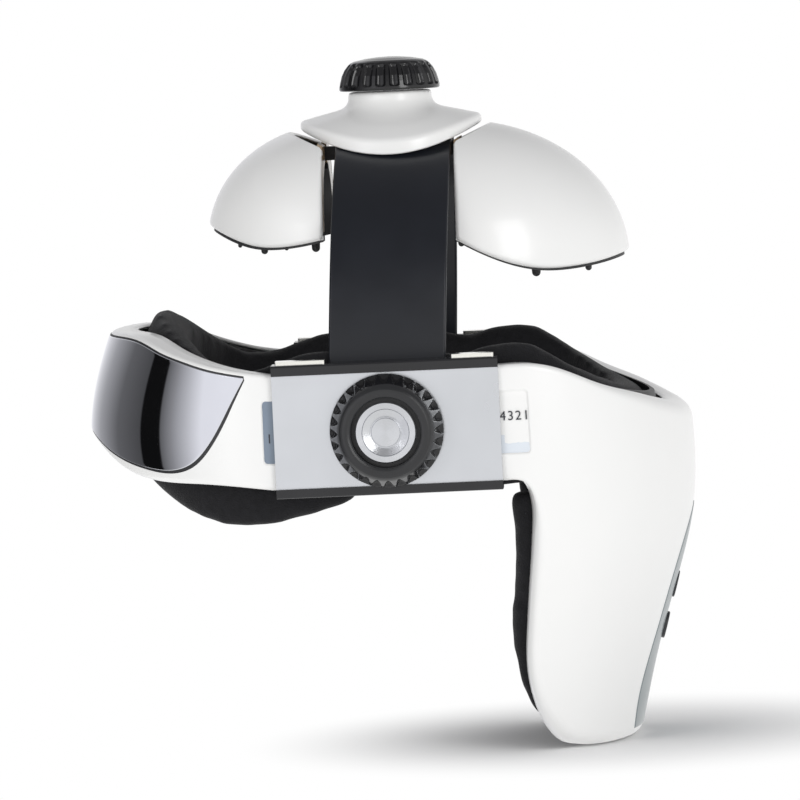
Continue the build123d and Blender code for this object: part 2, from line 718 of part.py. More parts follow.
with BuildPart() as tray_blank:
    add(flush_core)
    add(recess_core, mode=Mode.SUBTRACT)
    add(front_half, mode=Mode.INTERSECT)
    add(tray_prism, mode=Mode.INTERSECT)
with BuildPart() as visor_seat:
    add(front_half)
    add(visor_back_core, mode=Mode.SUBTRACT)
    add(visor_prism, mode=Mode.INTERSECT)
with BuildPart() as visor_tray:
    add(tray_blank.part)
    add(visor_seat.part, mode=Mode.SUBTRACT)
visor_tray.part.label = "visor_tray"
export_step(visor_tray.part, "parts/visor_tray.step")

with BuildPart() as visor_panel:
    add(visor_core)
    add(visor_back_core, mode=Mode.SUBTRACT)
    add(front_half, mode=Mode.INTERSECT)
    add(visor_prism, mode=Mode.INTERSECT)
visor_panel.part.label = "visor_panel"
export_step(visor_panel.part, "parts/visor_panel.step")

mask_frame_ring = wrap(mask_unit, (frame_outer, frame_outer), (frame_inner, frame_inner), 2.1)
with BuildPart() as mask_frame:
    add(mask_frame_ring)
    with BuildSketch(Plane.YZ):
        with Locations(*boss_spots):
            Circle(1.0)
    extrude(amount=reach, both=True, mode=Mode.SUBTRACT)
mask_frame.part.label = "mask_frame"
export_step(mask_frame.part, "parts/mask_frame.step")

with BuildPart() as mask_scales:
    add(mask_pocket)
    add(strip_core, mode=Mode.INTERSECT)
    add(pocket_core, mode=Mode.SUBTRACT)
mask_scales.part.label = "mask_scales"
export_step(mask_scales.part, "parts/mask_scales.step")

with BuildPart() as mask_screws:
    for side in (-1, 1):
        with BuildSketch(Plane.YZ.offset(side * (wrap_half_width - frame_inner))):
            with Locations(*boss_spots):
                Circle(1.0)
        extrude(amount=side * 5.5)
mask_screws.part.label = "mask_screws"
export_step(mask_screws.part, "parts/mask_screws.step")

cushion_across = wrap_half_width - inside_half_width
eye_lower = [(-14, -31), (-27, -34.9), (-44, -38.8), (-61, -41), (-80, -37.6), (-92, -32), (-100, -26),
             (-108, -19), (-125, -8)]
eye_upper = [(-14, 31.5), (-43, 31.5), (-56, 28.6), (-72, 30), (-87, 39), (-97, 48), (-106, 55.5), (-125, 60)]
eye_ring = cushion(mask_unit, (cushion_across, 14.8), (cushion_across + 11, 33), -14, eye_lower, eye_upper)
with BuildPart() as eye_cushion:
    add(eye_ring)
    with BuildSketch(Plane.XZ.offset(70)):
        with BuildLine():
            Polyline((-19, -60), (-15, -24), (-6, -4), (6, -4), (15, -24), (19, -60), close=True)
        make_face()
    extrude(amount=80, mode=Mode.SUBTRACT)
eye_cushion.part.label = "eye_cushion"
export_step(eye_cushion.part, "parts/eye_cushion.step")

airbag_outer = wrap_core(mask_unit, 11.2, 10.9, None)
airbag_inner = wrap_core(mask_unit, cushion_across - 0.3, 14.4, None)
with BuildPart() as eye_airbags:
    with BuildSketch(Plane.XZ.offset(80)):
        with Locations((-33, 12), (33, 12)):
            RectangleRounded(38, 26, 8)
    extrude(amount=60)
    add(airbag_outer, mode=Mode.INTERSECT)
    add(airbag_inner, mode=Mode.SUBTRACT)
eye_airbags.part.label = "eye_airbags"
export_step(eye_airbags.part, "parts/eye_airbags.step")

with BuildPart() as mask_motors:
    for side in (-1, 1):
        with BuildSketch(Plane(origin=(side * 42.9, -120.1, 8), z_dir=(side * 0.384, -0.923, 0))):
            Circle(5)
        extrude(amount=1.4, both=True)
mask_motors.part.label = "mask_motors"
export_step(mask_motors.part, "parts/mask_motors.step")

with BuildPart() as mask_circuit:
    with BuildSketch(Plane.XZ.offset(125.1)):
        with Locations((0, 20)):
            Rectangle(22, 11)
    extrude(amount=1.2)
mask_circuit.part.label = "mask_circuit"
export_step(mask_circuit.part, "parts/mask_circuit.step")

# ---- neck unit ------------------------------------------------------------------
spine_depth = 16.0  # depth of the unit's hollow at the spine
neck_frame_outer = 14.0
spine_middle = -90.0
spine_slope = 0.288  # how much the spine moves forward for each unit down
spine_depth_there = 66.6
jack_y = 95.6
leaf = [(0, -43.5), (12, -49), (20, -58), (23.6, -70), (24.8, -95), (28, -112), (29.8, -128), (27.5, -141)]
neck_boss_spots = [(40, 17), (40, -17)]
button_heights = {"power_button": -80.0, "mode_button": -98.0}

neck_outer_ring = wrap(neck_unit, (0, 0), (frame_inner, spine_depth))
neck_hollow = wrap(neck_unit, (shell_wall, shell_wall), (frame_inner + 1, spine_depth + 1), 2.0)
panel_core = wrap_core(neck_unit, -0.45, -0.45, None)
panel_back_core = wrap_core(neck_unit, 1.4, 1.4, None)
neck_pocket = scale_pocket(1, neck_scale_end)
neck_pocket_core = wrap_core(neck_unit, scale_depth, scale_depth, neck_unit["arm_end"])
neck_strip_core = wrap_core(neck_unit, scale_depth - 0.3, scale_depth - 0.3, neck_unit["arm_end"])


def leaf_prism(grow):
    with BuildPart() as prism:
        with BuildSketch(Plane.XZ.offset(-60)):
            with BuildLine():
                right = [(x + grow * min(x, 1), z + (grow if z > -60 else 0)) for x, z in leaf]
                Spline(*right)
                Line(right[-1], (-right[-1][0], right[-1][1]))
                Spline(*[(-x, z) for x, z in reversed(right)])
            make_face()
        extrude(amount=-90)
    return prism.part


def button_plane(height):
    """Plane on the spine at a height, its normal pointing away from the neck."""
    depth = spine_depth_there + spine_slope * (height - spine_middle)
    return Plane(origin=(0, neck_centre + depth, height), x_dir=(1, 0, 0), z_dir=(0, 1, -spine_slope))


panel_prism = leaf_prism(0)
panel_gap_prism = leaf_prism(0.4)
with BuildPart() as panel_recess:
    add(panel_gap_prism)
    add(panel_back_core, mode=Mode.SUBTRACT)
with BuildPart() as neck_pocket_cut:
    add(neck_pocket)
    add(neck_pocket_core, mode=Mode.SUBTRACT)

with BuildPart() as neck_shell:
    add(neck_outer_ring)
    add(neck_hollow, mode=Mode.SUBTRACT)
    add(panel_recess.part, mode=Mode.SUBTRACT)
    add(neck_pocket_cut.part, mode=Mode.SUBTRACT)
    for side in (-1, 1):
        with BuildSketch(Plane.YZ.offset(side * (wrap_half_width - frame_inner + 2))):
            with Locations(*neck_boss_spots):
                Circle(2.5)
        extrude(amount=side * (frame_outer - shell_wall + 0.2))
        with BuildSketch(Plane.YZ.offset(side * (wrap_half_width - frame_inner))):
            with Locations(*neck_boss_spots):
                Circle(1.0)
        extrude(amount=side * 6, mode=Mode.SUBTRACT)
    for height in button_heights.values():
        with BuildSketch(button_plane(height)):
            Circle(6.3)
        extrude(amount=5, both=True, mode=Mode.SUBTRACT)
    with BuildSketch(Plane.XY.offset(-150)):
        with Locations((0, jack_y)):
            Circle(2.75)
    extrude(amount=10, mode=Mode.SUBTRACT)
neck_shell.part.label = "neck_shell"
export_step(neck_shell.part, "parts/neck_shell.step")

with BuildPart() as back_panel:
    add(panel_core)
    add(panel_back_core, mode=Mode.SUBTRACT)
    add(panel_prism, mode=Mode.INTERSECT)
    for height in button_heights.values():
        with BuildSketch(button_plane(height)):
            Circle(6.3)
        extrude(amount=5, both=True, mode=Mode.SUBTRACT)
back_panel.part.label = "back_panel"
export_step(back_panel.part, "parts/back_panel.step")

neck_frame_ring = wrap(neck_unit, (frame_outer, neck_frame_outer), (frame_inner, spine_depth), 2.1)
with BuildPart() as neck_frame:
    add(neck_frame_ring)
    with BuildSketch(Plane.YZ):
        with Locations(*neck_boss_spots):
            Circle(1.0)
    extrude(amount=reach, both=True, mode=Mode.SUBTRACT)
neck_frame.part.label = "neck_frame"
export_step(neck_frame.part, "parts/neck_frame.step")

with BuildPart() as neck_scales:
    add(neck_pocket)
    add(neck_strip_core, mode=Mode.INTERSECT)
    add(neck_pocket_core, mode=Mode.SUBTRACT)
neck_scales.part.label = "neck_scales"
export_step(neck_scales.part, "parts/neck_scales.step")

with BuildPart() as neck_screws:
    for side in (-1, 1):
        with BuildSketch(Plane.YZ.offset(side * (wrap_half_width - frame_inner))):
            with Locations(*neck_boss_spots):
                Circle(1.0)
        extrude(amount=side * 5.5)
neck_screws.part.label = "neck_screws"
export_step(neck_screws.part, "parts/neck_screws.step")

back_lower = [(18, -28), (60, -28.4), (100, -28.4), (140, -28.4)]
back_upper = [(18, 33), (40, 33.5), (53, 35.2), (61, 34), (72, 27.8), (84, 20), (97, 11.8), (112, 6.5), (140, 0)]
back_cushion_ring = cushion(neck_unit, (cushion_across, 18.5), (cushion_across + 11, 33), 18, back_lower, back_upper)
with BuildPart() as back_cushion:
    add(back_cushion_ring)
back_cushion.part.label = "back_cushion"
export_step(back_cushion.part, "parts/back_cushion.step")

roll_lower = [(48, -29.2), (47.8, -85), (48.2, -104), (50, -116), (54, -126.5), (60, -134.5), (68, -139.5),
              (84, -141.5), (140, -141.5)]
roll_upper = [(48, -29), (140, -29)]
neck_roll_ring = cushion(neck_unit, (cushion_across, 18.5), (cushion_across + 12, 33), 48, roll_lower, roll_upper)
with BuildPart() as neck_cushion:
    add(neck_roll_ring)
neck_cushion.part.label = "neck_cushion"
export_step(neck_cushion.part, "parts/neck_cushion.step")

for label, height in button_heights.items():
    with BuildPart() as button:
        with BuildSketch(button_plane(height)):
            Circle(6.0)
        extrude(amount=1.4)
        fillet(button.faces().sort_by(Axis.Y)[-1].edges(), radius=0.5)
        with BuildSketch(button_plane(height)):
            Circle(6.0)
        extrude(amount=-4)
        with BuildSketch(button_plane(height).offset(-4)):
            Circle(7.2)
        extrude(amount=-1.2)
    button.part.label = label
    export_step(button.part, f"parts/{label}.step")

with BuildPart() as main_circuit:
    with BuildSketch(button_plane(-89).offset(-8)):
        Rectangle(28, 40)
    extrude(amount=-1.2)
main_circuit.part.label = "main_circuit"
export_step(main_circuit.part, "parts/main_circuit.step")

with BuildPart() as battery:
    with BuildSketch(Plane.XY.offset(-38)):
        with Locations((0, 122.4)):
            RectangleRounded(40, 7.2, 2)
    extrude(amount=30)
battery.part.label = "battery"
export_step(battery.part, "parts/battery.step")

with BuildPart() as air_pump:
    with BuildSketch(Plane.YZ.offset(-13)):
        with Locations((118.6, -56)):
            Circle(4.0)
    extrude(amount=26)
    with BuildSketch(Plane.YZ.offset(13)):
        with Locations((118.6, -56)):
            Circle(1.4)
    extrude(amount=4)
air_pump.part.label = "air_pump"
export_step(air_pump.part, "parts/air_pump.step")

jack_floor = -134.0
with BuildPart() as charging_jack:
    with BuildSketch(Plane.XY.offset(-142.4)):
        with Locations((0, jack_y)):
            Circle(3.8)
            Circle(2.75, mode=Mode.SUBTRACT)
    extrude(amount=11.4)
    with BuildSketch(Plane.XY.offset(jack_floor)):
        with Locations((0, jack_y)):
            Circle(2.9)
    extrude(amount=3)
    with BuildSketch(Plane.XY.offset(jack_floor)):
        with Locations((0, jack_y)):
            Circle(1.0)
    extrude(amount=-9)
charging_jack.part.label = "charging_jack"
export_step(charging_jack.part, "parts/charging_jack.step")
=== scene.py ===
import bmesh
import bpy
import numpy as np
from mathutils import Matrix, Vector


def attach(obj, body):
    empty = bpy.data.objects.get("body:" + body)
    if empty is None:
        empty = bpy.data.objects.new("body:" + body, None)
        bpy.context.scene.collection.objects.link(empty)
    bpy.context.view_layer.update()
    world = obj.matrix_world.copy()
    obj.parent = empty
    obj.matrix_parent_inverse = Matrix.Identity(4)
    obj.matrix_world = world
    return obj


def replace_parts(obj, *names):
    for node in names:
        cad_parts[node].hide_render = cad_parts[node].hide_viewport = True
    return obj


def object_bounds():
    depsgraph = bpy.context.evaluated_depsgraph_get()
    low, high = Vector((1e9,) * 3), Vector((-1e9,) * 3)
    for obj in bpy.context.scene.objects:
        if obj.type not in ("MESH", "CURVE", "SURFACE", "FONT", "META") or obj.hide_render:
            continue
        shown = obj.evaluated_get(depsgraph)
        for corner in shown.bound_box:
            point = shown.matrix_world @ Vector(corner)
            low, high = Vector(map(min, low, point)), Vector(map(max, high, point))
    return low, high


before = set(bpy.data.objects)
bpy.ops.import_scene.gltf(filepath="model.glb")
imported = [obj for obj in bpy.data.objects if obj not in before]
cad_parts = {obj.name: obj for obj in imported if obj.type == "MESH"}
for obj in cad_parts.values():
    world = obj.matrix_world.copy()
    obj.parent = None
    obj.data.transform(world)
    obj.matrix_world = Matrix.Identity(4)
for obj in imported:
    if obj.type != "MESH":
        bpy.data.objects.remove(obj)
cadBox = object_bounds()
mm = 0.001
print("frame loaded:", len(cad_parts), "nodes")


# lines and grids

def splineValues(at, xs, ys):
    # natural cubic through the points (xs, ys), read at the places in at
    xs, ys = np.asarray(xs, float), np.asarray(ys, float)
    gap, rise = np.diff(xs), np.diff(ys)
    count = len(xs)
    inner = np.arange(1, count - 1)
    matrix, right = np.eye(count), np.zeros(count)
    matrix[inner, inner - 1], matrix[inner, inner + 1] = gap[:-1], gap[1:]
    matrix[inner, inner] = 2 * (gap[:-1] + gap[1:])
    right[inner] = 6 * (rise[1:] / gap[1:] - rise[:-1] / gap[:-1])
    bend = np.linalg.solve(matrix, right)
    at = np.clip(at, xs[0], xs[-1])
    k = np.clip(np.searchsorted(xs, at) - 1, 0, count - 2)
    after, before, h = xs[k + 1] - at, at - xs[k], gap[k]
    curved = (bend[k] * after**3 + bend[k + 1] * before**3) / (6 * h)
    straight = (ys[k] / h - bend[k] * h / 6) * after + (ys[k + 1] / h - bend[k + 1] * h / 6) * before
    return curved + straight


def runLength(line):
    # distance along a line from its start to each of its points
    return np.concatenate([[0], np.cumsum(np.linalg.norm(np.diff(line, axis=0), axis=1))])


def readLine(line, places):
    # points of a line at distances along it
    run = runLength(line)
    return np.stack([np.interp(places, run, column) for column in line.T], axis=1)


def smoothLine(points, count=1200):
    # cubic line through the points, spaced by their chords, read at even distances
    points = np.asarray(points, float)
    chord = runLength(points)
    fine = np.linspace(0, chord[-1], 4 * count)
    line = np.stack([splineValues(fine, chord, column) for column in points.T], axis=1)
    return readLine(line, np.linspace(0, runLength(line)[-1], count))


def ease(t):
    # 0 to 1 with flat ends: 3t^2 - 2t^3
    t = np.clip(t, 0, 1)
    return t * t * (3 - 2 * t)


def gridQuads(rows, columns, ring):
    # four corners of every cell of a rows x columns grid, the last column joined to the first for a ring
    down, across = np.meshgrid(np.arange(rows - 1), np.arange(columns if ring else columns - 1), indexing="ij")
    right = (across + 1) % columns
    cells = [down * columns + across, down * columns + right, (down + 1) * columns + right,
             (down + 1) * columns + across]
    return np.stack(cells, axis=-1).reshape(-1, 4)


def gridPiece(name, points, material, body, about, ring=False, sharp=50):
    # a grid of points in millimetres as one piece, its faces turned away from the point about, doubles merged
    rows, columns = points.shape[:2]
    verts = points.reshape(-1, 3) * mm
    quads = gridQuads(rows, columns, ring)
    corners = verts[quads]
    normal = np.cross(corners[:, 2] - corners[:, 0], corners[:, 3] - corners[:, 1])
    if np.sum(normal * (corners.mean(axis=1) - np.asarray(about) * mm)) < 0:
        quads = quads[:, ::-1]
    return rawPiece(name, verts, quads, material, body, sharp)


def rawPiece(name, verts, faces, material, body, sharp=50):
    mesh = bpy.data.meshes.new(name)
    mesh.from_pydata(verts.tolist(), [], faces.tolist())
    tidy = bmesh.new()
    tidy.from_mesh(mesh)
    bmesh.ops.remove_doubles(tidy, verts=tidy.verts, dist=2e-6)
    tidy.to_mesh(mesh)
    tidy.free()
    mesh.polygons.foreach_set("use_smooth", np.ones(len(mesh.polygons), bool))
    mesh.set_sharp_from_angle(angle=np.radians(sharp))
    piece = bpy.data.objects.new(name, mesh)
    bpy.context.collection.objects.link(piece)
    mesh.materials.append(material)
    if body:
        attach(piece, body)
    return piece


def giveWall(piece, thick):
    # a wall of that thickness behind a sheet
    wall = piece.modifiers.new("wall", "SOLIDIFY")
    wall.thickness, wall.offset = thick * mm, -1
    return piece


def mirrorHalf(half):
    # a half grid that ends on the middle plane, with its twin
    twin = half[:, -2::-1] * (-1, 1, 1)
    return np.concatenate([half, twin], axis=1)


# finishes

def addNode(tree, kind, **settings):
    node = tree.nodes.new(kind)
    for key, value in settings.items():
        if key.startswith("in_"):
            node.inputs[key[3:].replace("_", " ")].default_value = value
        else:
            setattr(node, key, value)
    return node


def finish(name, color, rough, metal=0.0, spread=0.06, roughSpread=0.05, patch=60.0, grain=1500.0, grainDepth=0.02,
           stretch=(1, 1, 1), coat=0.0, coatRough=0.08, specular=0.5, sheen=0.0, pattern="noise", turn=(0, 0, 0)):
    # colour and roughness wander in soft patches, and a fine grain or weave gives the bump
    material = bpy.data.materials.new(name)
    material.use_nodes = True
    tree = material.node_tree
    shader = tree.nodes["Principled BSDF"]
    shader.inputs["Metallic"].default_value = metal
    shader.inputs["Specular IOR Level"].default_value = specular
    shader.inputs["Coat Weight"].default_value = coat
    shader.inputs["Coat Roughness"].default_value = coatRough
    shader.inputs["Sheen Weight"].default_value = sheen
    shader.inputs["Sheen Roughness"].default_value = 0.4
    place = addNode(tree, "ShaderNodeTexCoord")
    spaced = addNode(tree, "ShaderNodeMapping", in_Scale=stretch, in_Rotation=turn)
    tree.links.new(place.outputs["Object"], spaced.inputs["Vector"])
    patches = addNode(tree, "ShaderNodeTexNoise", in_Scale=patch, in_Detail=3.0, in_Roughness=0.55)
    tree.links.new(spaced.outputs["Vector"], patches.inputs["Vector"])
    tint = addNode(tree, "ShaderNodeValToRGB")
    low, high = tint.color_ramp.elements
    low.position, high.position = 0.3, 0.7
    low.color = (*[c * (1 - spread) for c in color], 1)
    high.color = (*[min(c * (1 + spread), 1) for c in color], 1)
    tree.links.new(patches.outputs["Fac"], tint.inputs["Fac"])
    tree.links.new(tint.outputs["Color"], shader.inputs["Base Color"])
    gloss = addNode(tree, "ShaderNodeMapRange")
    gloss.inputs["From Min"].default_value, gloss.inputs["From Max"].default_value = 0.3, 0.7
    gloss.inputs["To Min"].default_value = max(rough - roughSpread, 0.01)
    gloss.inputs["To Max"].default_value = min(rough + roughSpread, 1)
    tree.links.new(patches.outputs["Fac"], gloss.inputs["Value"])
    tree.links.new(gloss.outputs["Result"], shader.inputs["Roughness"])
    if pattern == "noise":
        fine = addNode(tree, "ShaderNodeTexNoise", in_Scale=grain, in_Detail=2.0)
        output = fine.outputs["Fac"]
    elif pattern == "cells":
        fine = addNode(tree, "ShaderNodeTexVoronoi", in_Scale=grain)
        output = fine.outputs["Distance"]
    else:  # rings round the X axis
        fine = addNode(tree, "ShaderNodeTexWave", wave_type="RINGS", rings_direction="X", in_Scale=grain,
                       in_Distortion=0.4)
        output = fine.outputs["Fac"]
    tree.links.new(spaced.outputs["Vector"], fine.inputs["Vector"])
    bump = addNode(tree, "ShaderNodeBump", in_Strength=1.0)
    bump.inputs["Distance"].default_value = grainDepth * mm
    tree.links.new(output, bump.inputs["Height"])
    tree.links.new(bump.outputs["Normal"], shader.inputs["Normal"])
    return material


finishes = {
    "whiteShell": finish("whiteShell", (0.86, 0.86, 0.85), 0.3, spread=0.004, roughSpread=0.015, grain=900,
                         grainDepth=0.001, coat=0.35, coatRough=0.12),
    "blackGloss": finish("blackGloss", (0.012, 0.012, 0.014), 0.16, spread=0.1, grain=700, grainDepth=0.004),
    "platedFace": finish("platedFace", (0.64, 0.655, 0.68), 0.3, metal=1, spread=0.03, grain=2600, grainDepth=0.012,
                         patch=25),
    "brightStrip": finish("brightStrip", (0.86, 0.85, 0.8), 0.16, metal=1, spread=0.03, grain=1500, grainDepth=0.003),
    "knobBlack": finish("knobBlack", (0.008, 0.008, 0.009), 0.14, spread=0.15, grain=1400, grainDepth=0.006),
    "knobRing": finish("knobRing", (0.014, 0.0145, 0.016), 0.34, spread=0.1, grain=2200, grainDepth=0.006),
    "turnedInsert": finish("turnedInsert", (0.62, 0.63, 0.65), 0.24, metal=1, spread=0.05, grain=900, grainDepth=0.02,
                           pattern="rings"),
    "bandNavy": finish("bandNavy", (0.006, 0.0075, 0.012), 0.32, spread=0.12, patch=35, grain=1800, grainDepth=0.006,
                       specular=0.4),
    "cushionCloth": finish("cushionCloth", (0.012, 0.012, 0.0135), 0.85, spread=0.25, patch=320, grain=1500,
                           grainDepth=0.22,
                           specular=0.2, sheen=0.12, pattern="cells"),
    "visorMirror": finish("visorMirror", (0.74, 0.75, 0.79), 0.035, metal=1, spread=0.01, roughSpread=0.01, grain=60,
                          grainDepth=0.0),
    "panelGrey": finish("panelGrey", (0.20, 0.235, 0.245), 0.32, spread=0.04, grain=1600, grainDepth=0.008, coat=0.2),
    "scaleBlue": finish("scaleBlue", (0.19, 0.24, 0.31), 0.22, spread=0.04, grain=800, grainDepth=0.003, coat=0.5),
    "scaleWhite": finish("scaleWhite", (0.72, 0.77, 0.83), 0.22, spread=0.02, grain=800, grainDepth=0.003, coat=0.5),
    "printInk": finish("printInk", (0.02, 0.022, 0.03), 0.5, spread=0.1),
    "tanInner": finish("tanInner", (0.42, 0.30, 0.18), 0.3, spread=0.2, patch=45, grain=900, grainDepth=0.01, coat=0.3),
    "siliconeBlack": finish("siliconeBlack", (0.018, 0.018, 0.019), 0.55, spread=0.15, grain=1500, grainDepth=0.02),
    "frameBlack": finish("frameBlack", (0.02, 0.02, 0.022), 0.5, spread=0.15, grain=1100, grainDepth=0.03),
    "steel": finish("steel", (0.55, 0.56, 0.58), 0.25, metal=1, spread=0.06, stretch=(1, 1, 6), grain=1500,
                    grainDepth=0.01),
    "brass": finish("brass", (0.72, 0.53, 0.25), 0.28, metal=1, spread=0.08, grain=1200, grainDepth=0.01),
    "circuitGreen": finish("circuitGreen", (0.01, 0.12, 0.045), 0.4, spread=0.2, patch=300, coat=0.3),
    "batteryWrap": finish("batteryWrap", (0.04, 0.10, 0.28), 0.35, spread=0.08, coat=0.2),
    "airbagFilm": finish("airbagFilm", (0.35, 0.36, 0.38), 0.3, spread=0.1, patch=120),
    "keyBlack": finish("keyBlack", (0.025, 0.026, 0.029), 0.35, spread=0.1, grain=1300, grainDepth=0.01),
}
slotFinish = {
    "white_shell": "whiteShell", "black_gloss": "blackGloss", "brushed_plate": "platedFace",
    "bright_strip": "brightStrip",
    "knob_black": "knobBlack", "turned_insert": "turnedInsert", "band_navy": "bandNavy",
    "cushion_fabric": "cushionCloth",
    "visor_mirror": "visorMirror", "panel_grey": "panelGrey", "scale_blue": "scaleBlue", "scale_white": "scaleWhite",
    "tan_inner": "tanInner", "silicone_black": "siliconeBlack", "frame_black": "frameBlack", "steel": "steel",
    "brass": "brass", "circuit_green": "circuitGreen", "battery_wrap": "batteryWrap", "airbag_film": "airbagFilm",
    "key_black": "keyBlack",
}
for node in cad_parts.values():
    for place in node.material_slots:
        name = place.material.name.split(".")[0] if place.material else ""
        if name in slotFinish:
            place.material = finishes[slotFinish[name]]
        else:
            print("no finish for slot", name, "on", node.name)
print("finishes ready:", len(finishes))

# the two wrapped units
roll = 91.0  # millimetres round the curve for one radian
armLength = 28.0
maskForm = {
    "levels": [(-60, 100.8, 80), (-28, 100.8, 81.5), (-5, 100.8, 84.3), (22, 100.8, 80.7), (62, 100.8, 66)],
    "centre": -50.0, "out": -1,
    "lower": [(-50, -24.0), (-83, -20.5), (-104, -19), (-116, -15.5), (-127, -8), (-145, 8)],
    "upper": [(-50, 25.7), (-67, 28.4), (-83, 32.5), (-97, 37.8), (-108, 42.6), (-122, 43.6), (-145, 43)],
    "pocketEnd": 3.9,
}
neckForm = {
    "levels": [(-150, 71, 51), (-118, 76.5, 58.5), (-90, 84, 66.6), (-45, 97.5, 79.5), (-15, 100.8, 81.3), (45, 100.8,
                                                                                                            74)],
    "centre": 50.0, "out": 1,
    "lower": [(50, -24.0), (57.5, -25), (61.8, -33), (62, -45), (59.5, -67), (56.5, -92), (55.8, -108),
              (58.5, -121), (65.5, -134), (74, -141.5), (90, -144.5), (115, -144.8), (140, -144.8)],
    "upper": [(50, 25.7), (65.8, 25.2), (77, 22), (88, 17), (100, 12.5), (113, 8.5), (125, 4), (145, -2)],
    "pocketEnd": 12.6,
}
pocket = {"low": -12.8, "high": 14.8, "round": 2.0, "depth": 0.97, "slope": 0.7}


def unitSize(form, z):
    # half width and depth of a unit at height z
    heights, widths, depths = zip(*form["levels"])
    return splineValues(z, heights, widths), splineValues(z, heights, depths)


def wrapPoint(form, p, z, inset):
    # straight along the arm while p < 0, then (w cos a, d sin a) with a = p / roll, moved in along the outline's normal
    width, depth = unitSize(form, z)
    angle = np.clip(p, 0, None) / roll
    acrossX, acrossY = np.cos(angle) / width, np.sin(angle) / depth
    size = np.hypot(acrossX, acrossY)
    x = width * np.cos(angle) - inset * acrossX / size
    y = depth * np.sin(angle) - inset * acrossY / size + np.minimum(p, 0)
    return np.stack([x, form["centre"] + form["out"] * y, z + 0 * x], axis=-1)


def unrolled(form, outline, armed):
    # an edge drawn from the side, as (distance round, height) from the arm's end to the middle plane
    line = smoothLine(outline)
    along = form["out"] * (line[:, 0] - form["centre"])
    share = along / unitSize(form, line[:, 1])[1]
    stop = int(np.argmax(share >= 1))
    round_ = np.where(along < 0, along, roll * np.arcsin(np.clip(share, 0, 1)))
    flat = np.stack([round_, line[:, 1]], axis=1)[:stop]
    ends = [flat, [[roll * np.pi / 2, line[stop, 1]]]]
    if armed:
        ends.insert(0, [[-armLength, line[0, 1]]])
    return np.concatenate(ends)


def inwardNormal(line, side):
    # unit normal of an unrolled edge, towards the sheet; flat at the middle plane
    step = np.gradient(line, axis=0)
    step[-1] = (1, 0)
    step /= np.linalg.norm(step, axis=1, keepdims=True)
    return side * np.stack([-step[:, 1], step[:, 0]], axis=1)


def wrapSheet(form, low, high, lowRound, highRound, lip, proud=0.0, middle=90, dip=None):
    # rows across: lip, quarter round d = r(1 - cos a), inset = r(1 - sin a), straight lines over, quarter round, lip
    arc = np.linspace(0, np.pi / 2, 8)[:, None]

    def edge(line, side, radius):
        away = inwardNormal(line, side)
        distance = np.concatenate([np.zeros((2, len(line))), radius * (1 - np.cos(arc))])
        depth = radius * (1 - np.sin(arc))
        inset = np.concatenate([[lip + 0 * radius], [(lip + radius) / 2], depth])
        return line + distance[..., None] * away, inset - proud

    lowRows, lowInset = edge(low, 1, lowRound)
    highRows, highInset = edge(high, -1, highRound)
    v = np.linspace(0, 1, middle + 2)[1:-1, None, None]
    between = lowRows[-1] * (1 - v) + highRows[-1] * v
    rows = np.concatenate([lowRows, between, highRows[::-1]])
    inset = np.concatenate([lowInset, np.full(between.shape[:2], -proud), highInset[::-1]])
    if dip:
        inset = inset + dip(rows[..., 0], rows[..., 1])
    return mirrorHalf(wrapPoint(form, rows[..., 0], rows[..., 1], inset))


def armPlaces(total, rest):
    # distances along an edge: coarse under the side plate, fine by the number window, even after it
    fine = np.arange(24, 46, 0.45)
    return np.concatenate([[0, 12, 20], fine, 46 + (total - 46) * np.linspace(0, 1, rest)])


def windowDip(form):
    # a flat pocket with rounded corners: depth times an eased step of the distance inside its outline
    middleP, halfP = (form["pocketEnd"] - armLength) / 2, (form["pocketEnd"] + armLength) / 2
    middleZ, halfZ = (pocket["low"] + pocket["high"]) / 2, (pocket["high"] - pocket["low"]) / 2

    def dip(p, z):
        qp = np.abs(p - middleP) - halfP + pocket["round"]
        qz = np.abs(z - middleZ) - halfZ + pocket["round"]
        outside = np.hypot(np.maximum(qp, 0), np.maximum(qz, 0)) + np.minimum(np.maximum(qp, qz), 0) - pocket["round"]
        return pocket["depth"] * ease(-outside / pocket["slope"])

    return dip


def unitShell(name, form, body, node, lowRound, highRound, lip):
    low, high = unrolled(form, form["lower"], True), unrolled(form, form["upper"], True)
    low = readLine(low, armPlaces(runLength(low)[-1], 120))
    high = readLine(high, armPlaces(runLength(high)[-1], 120))
    share = np.linspace(0, 1, len(low))
    points = wrapSheet(form, low, high, np.interp(share, *lowRound), np.interp(share, *highRound), lip,
                       dip=windowDip(form))
    piece = gridPiece(name, points, finishes["whiteShell"], body, (0, form["centre"], 0), sharp=60)
    giveWall(piece, 1.2)
    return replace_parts(piece, node)


unitShell("maskCover", maskForm, "mask", "mask_shell", ([0, 1], [2.6, 4.0]), ([0, 1], [1.6, 2.2]), 11.5)
unitShell("neckCover", neckForm, "neck_unit", "neck_shell",
          ([0, 0.3, 0.36, 0.72, 0.8, 1], [1.6, 1.8, 5.5, 6.5, 5.0, 4.5]), ([0, 0.45, 0.7, 1], [1.6, 2.6, 7.5, 8.5]),
          12.5)
print("unit covers made")

# visor and its dark gasket
visor = {
    "lower": [(-60.5, 24.2), (-66.9, 13.3), (-71.8, 4.6), (-78.3, -5.1), (-84.9, -11.4), (-91, -13.9),
              (-103.7, -13.6), (-112, -11.5), (-123, -6.5), (-132, 0), (-145, 9)],
    "upper": [(-60.5, 24.9), (-78, 28.6), (-88, 31.9), (-97.6, 35.6), (-108, 40.4), (-120, 41.6), (-145, 41)],
    "proud": 0.42,
}


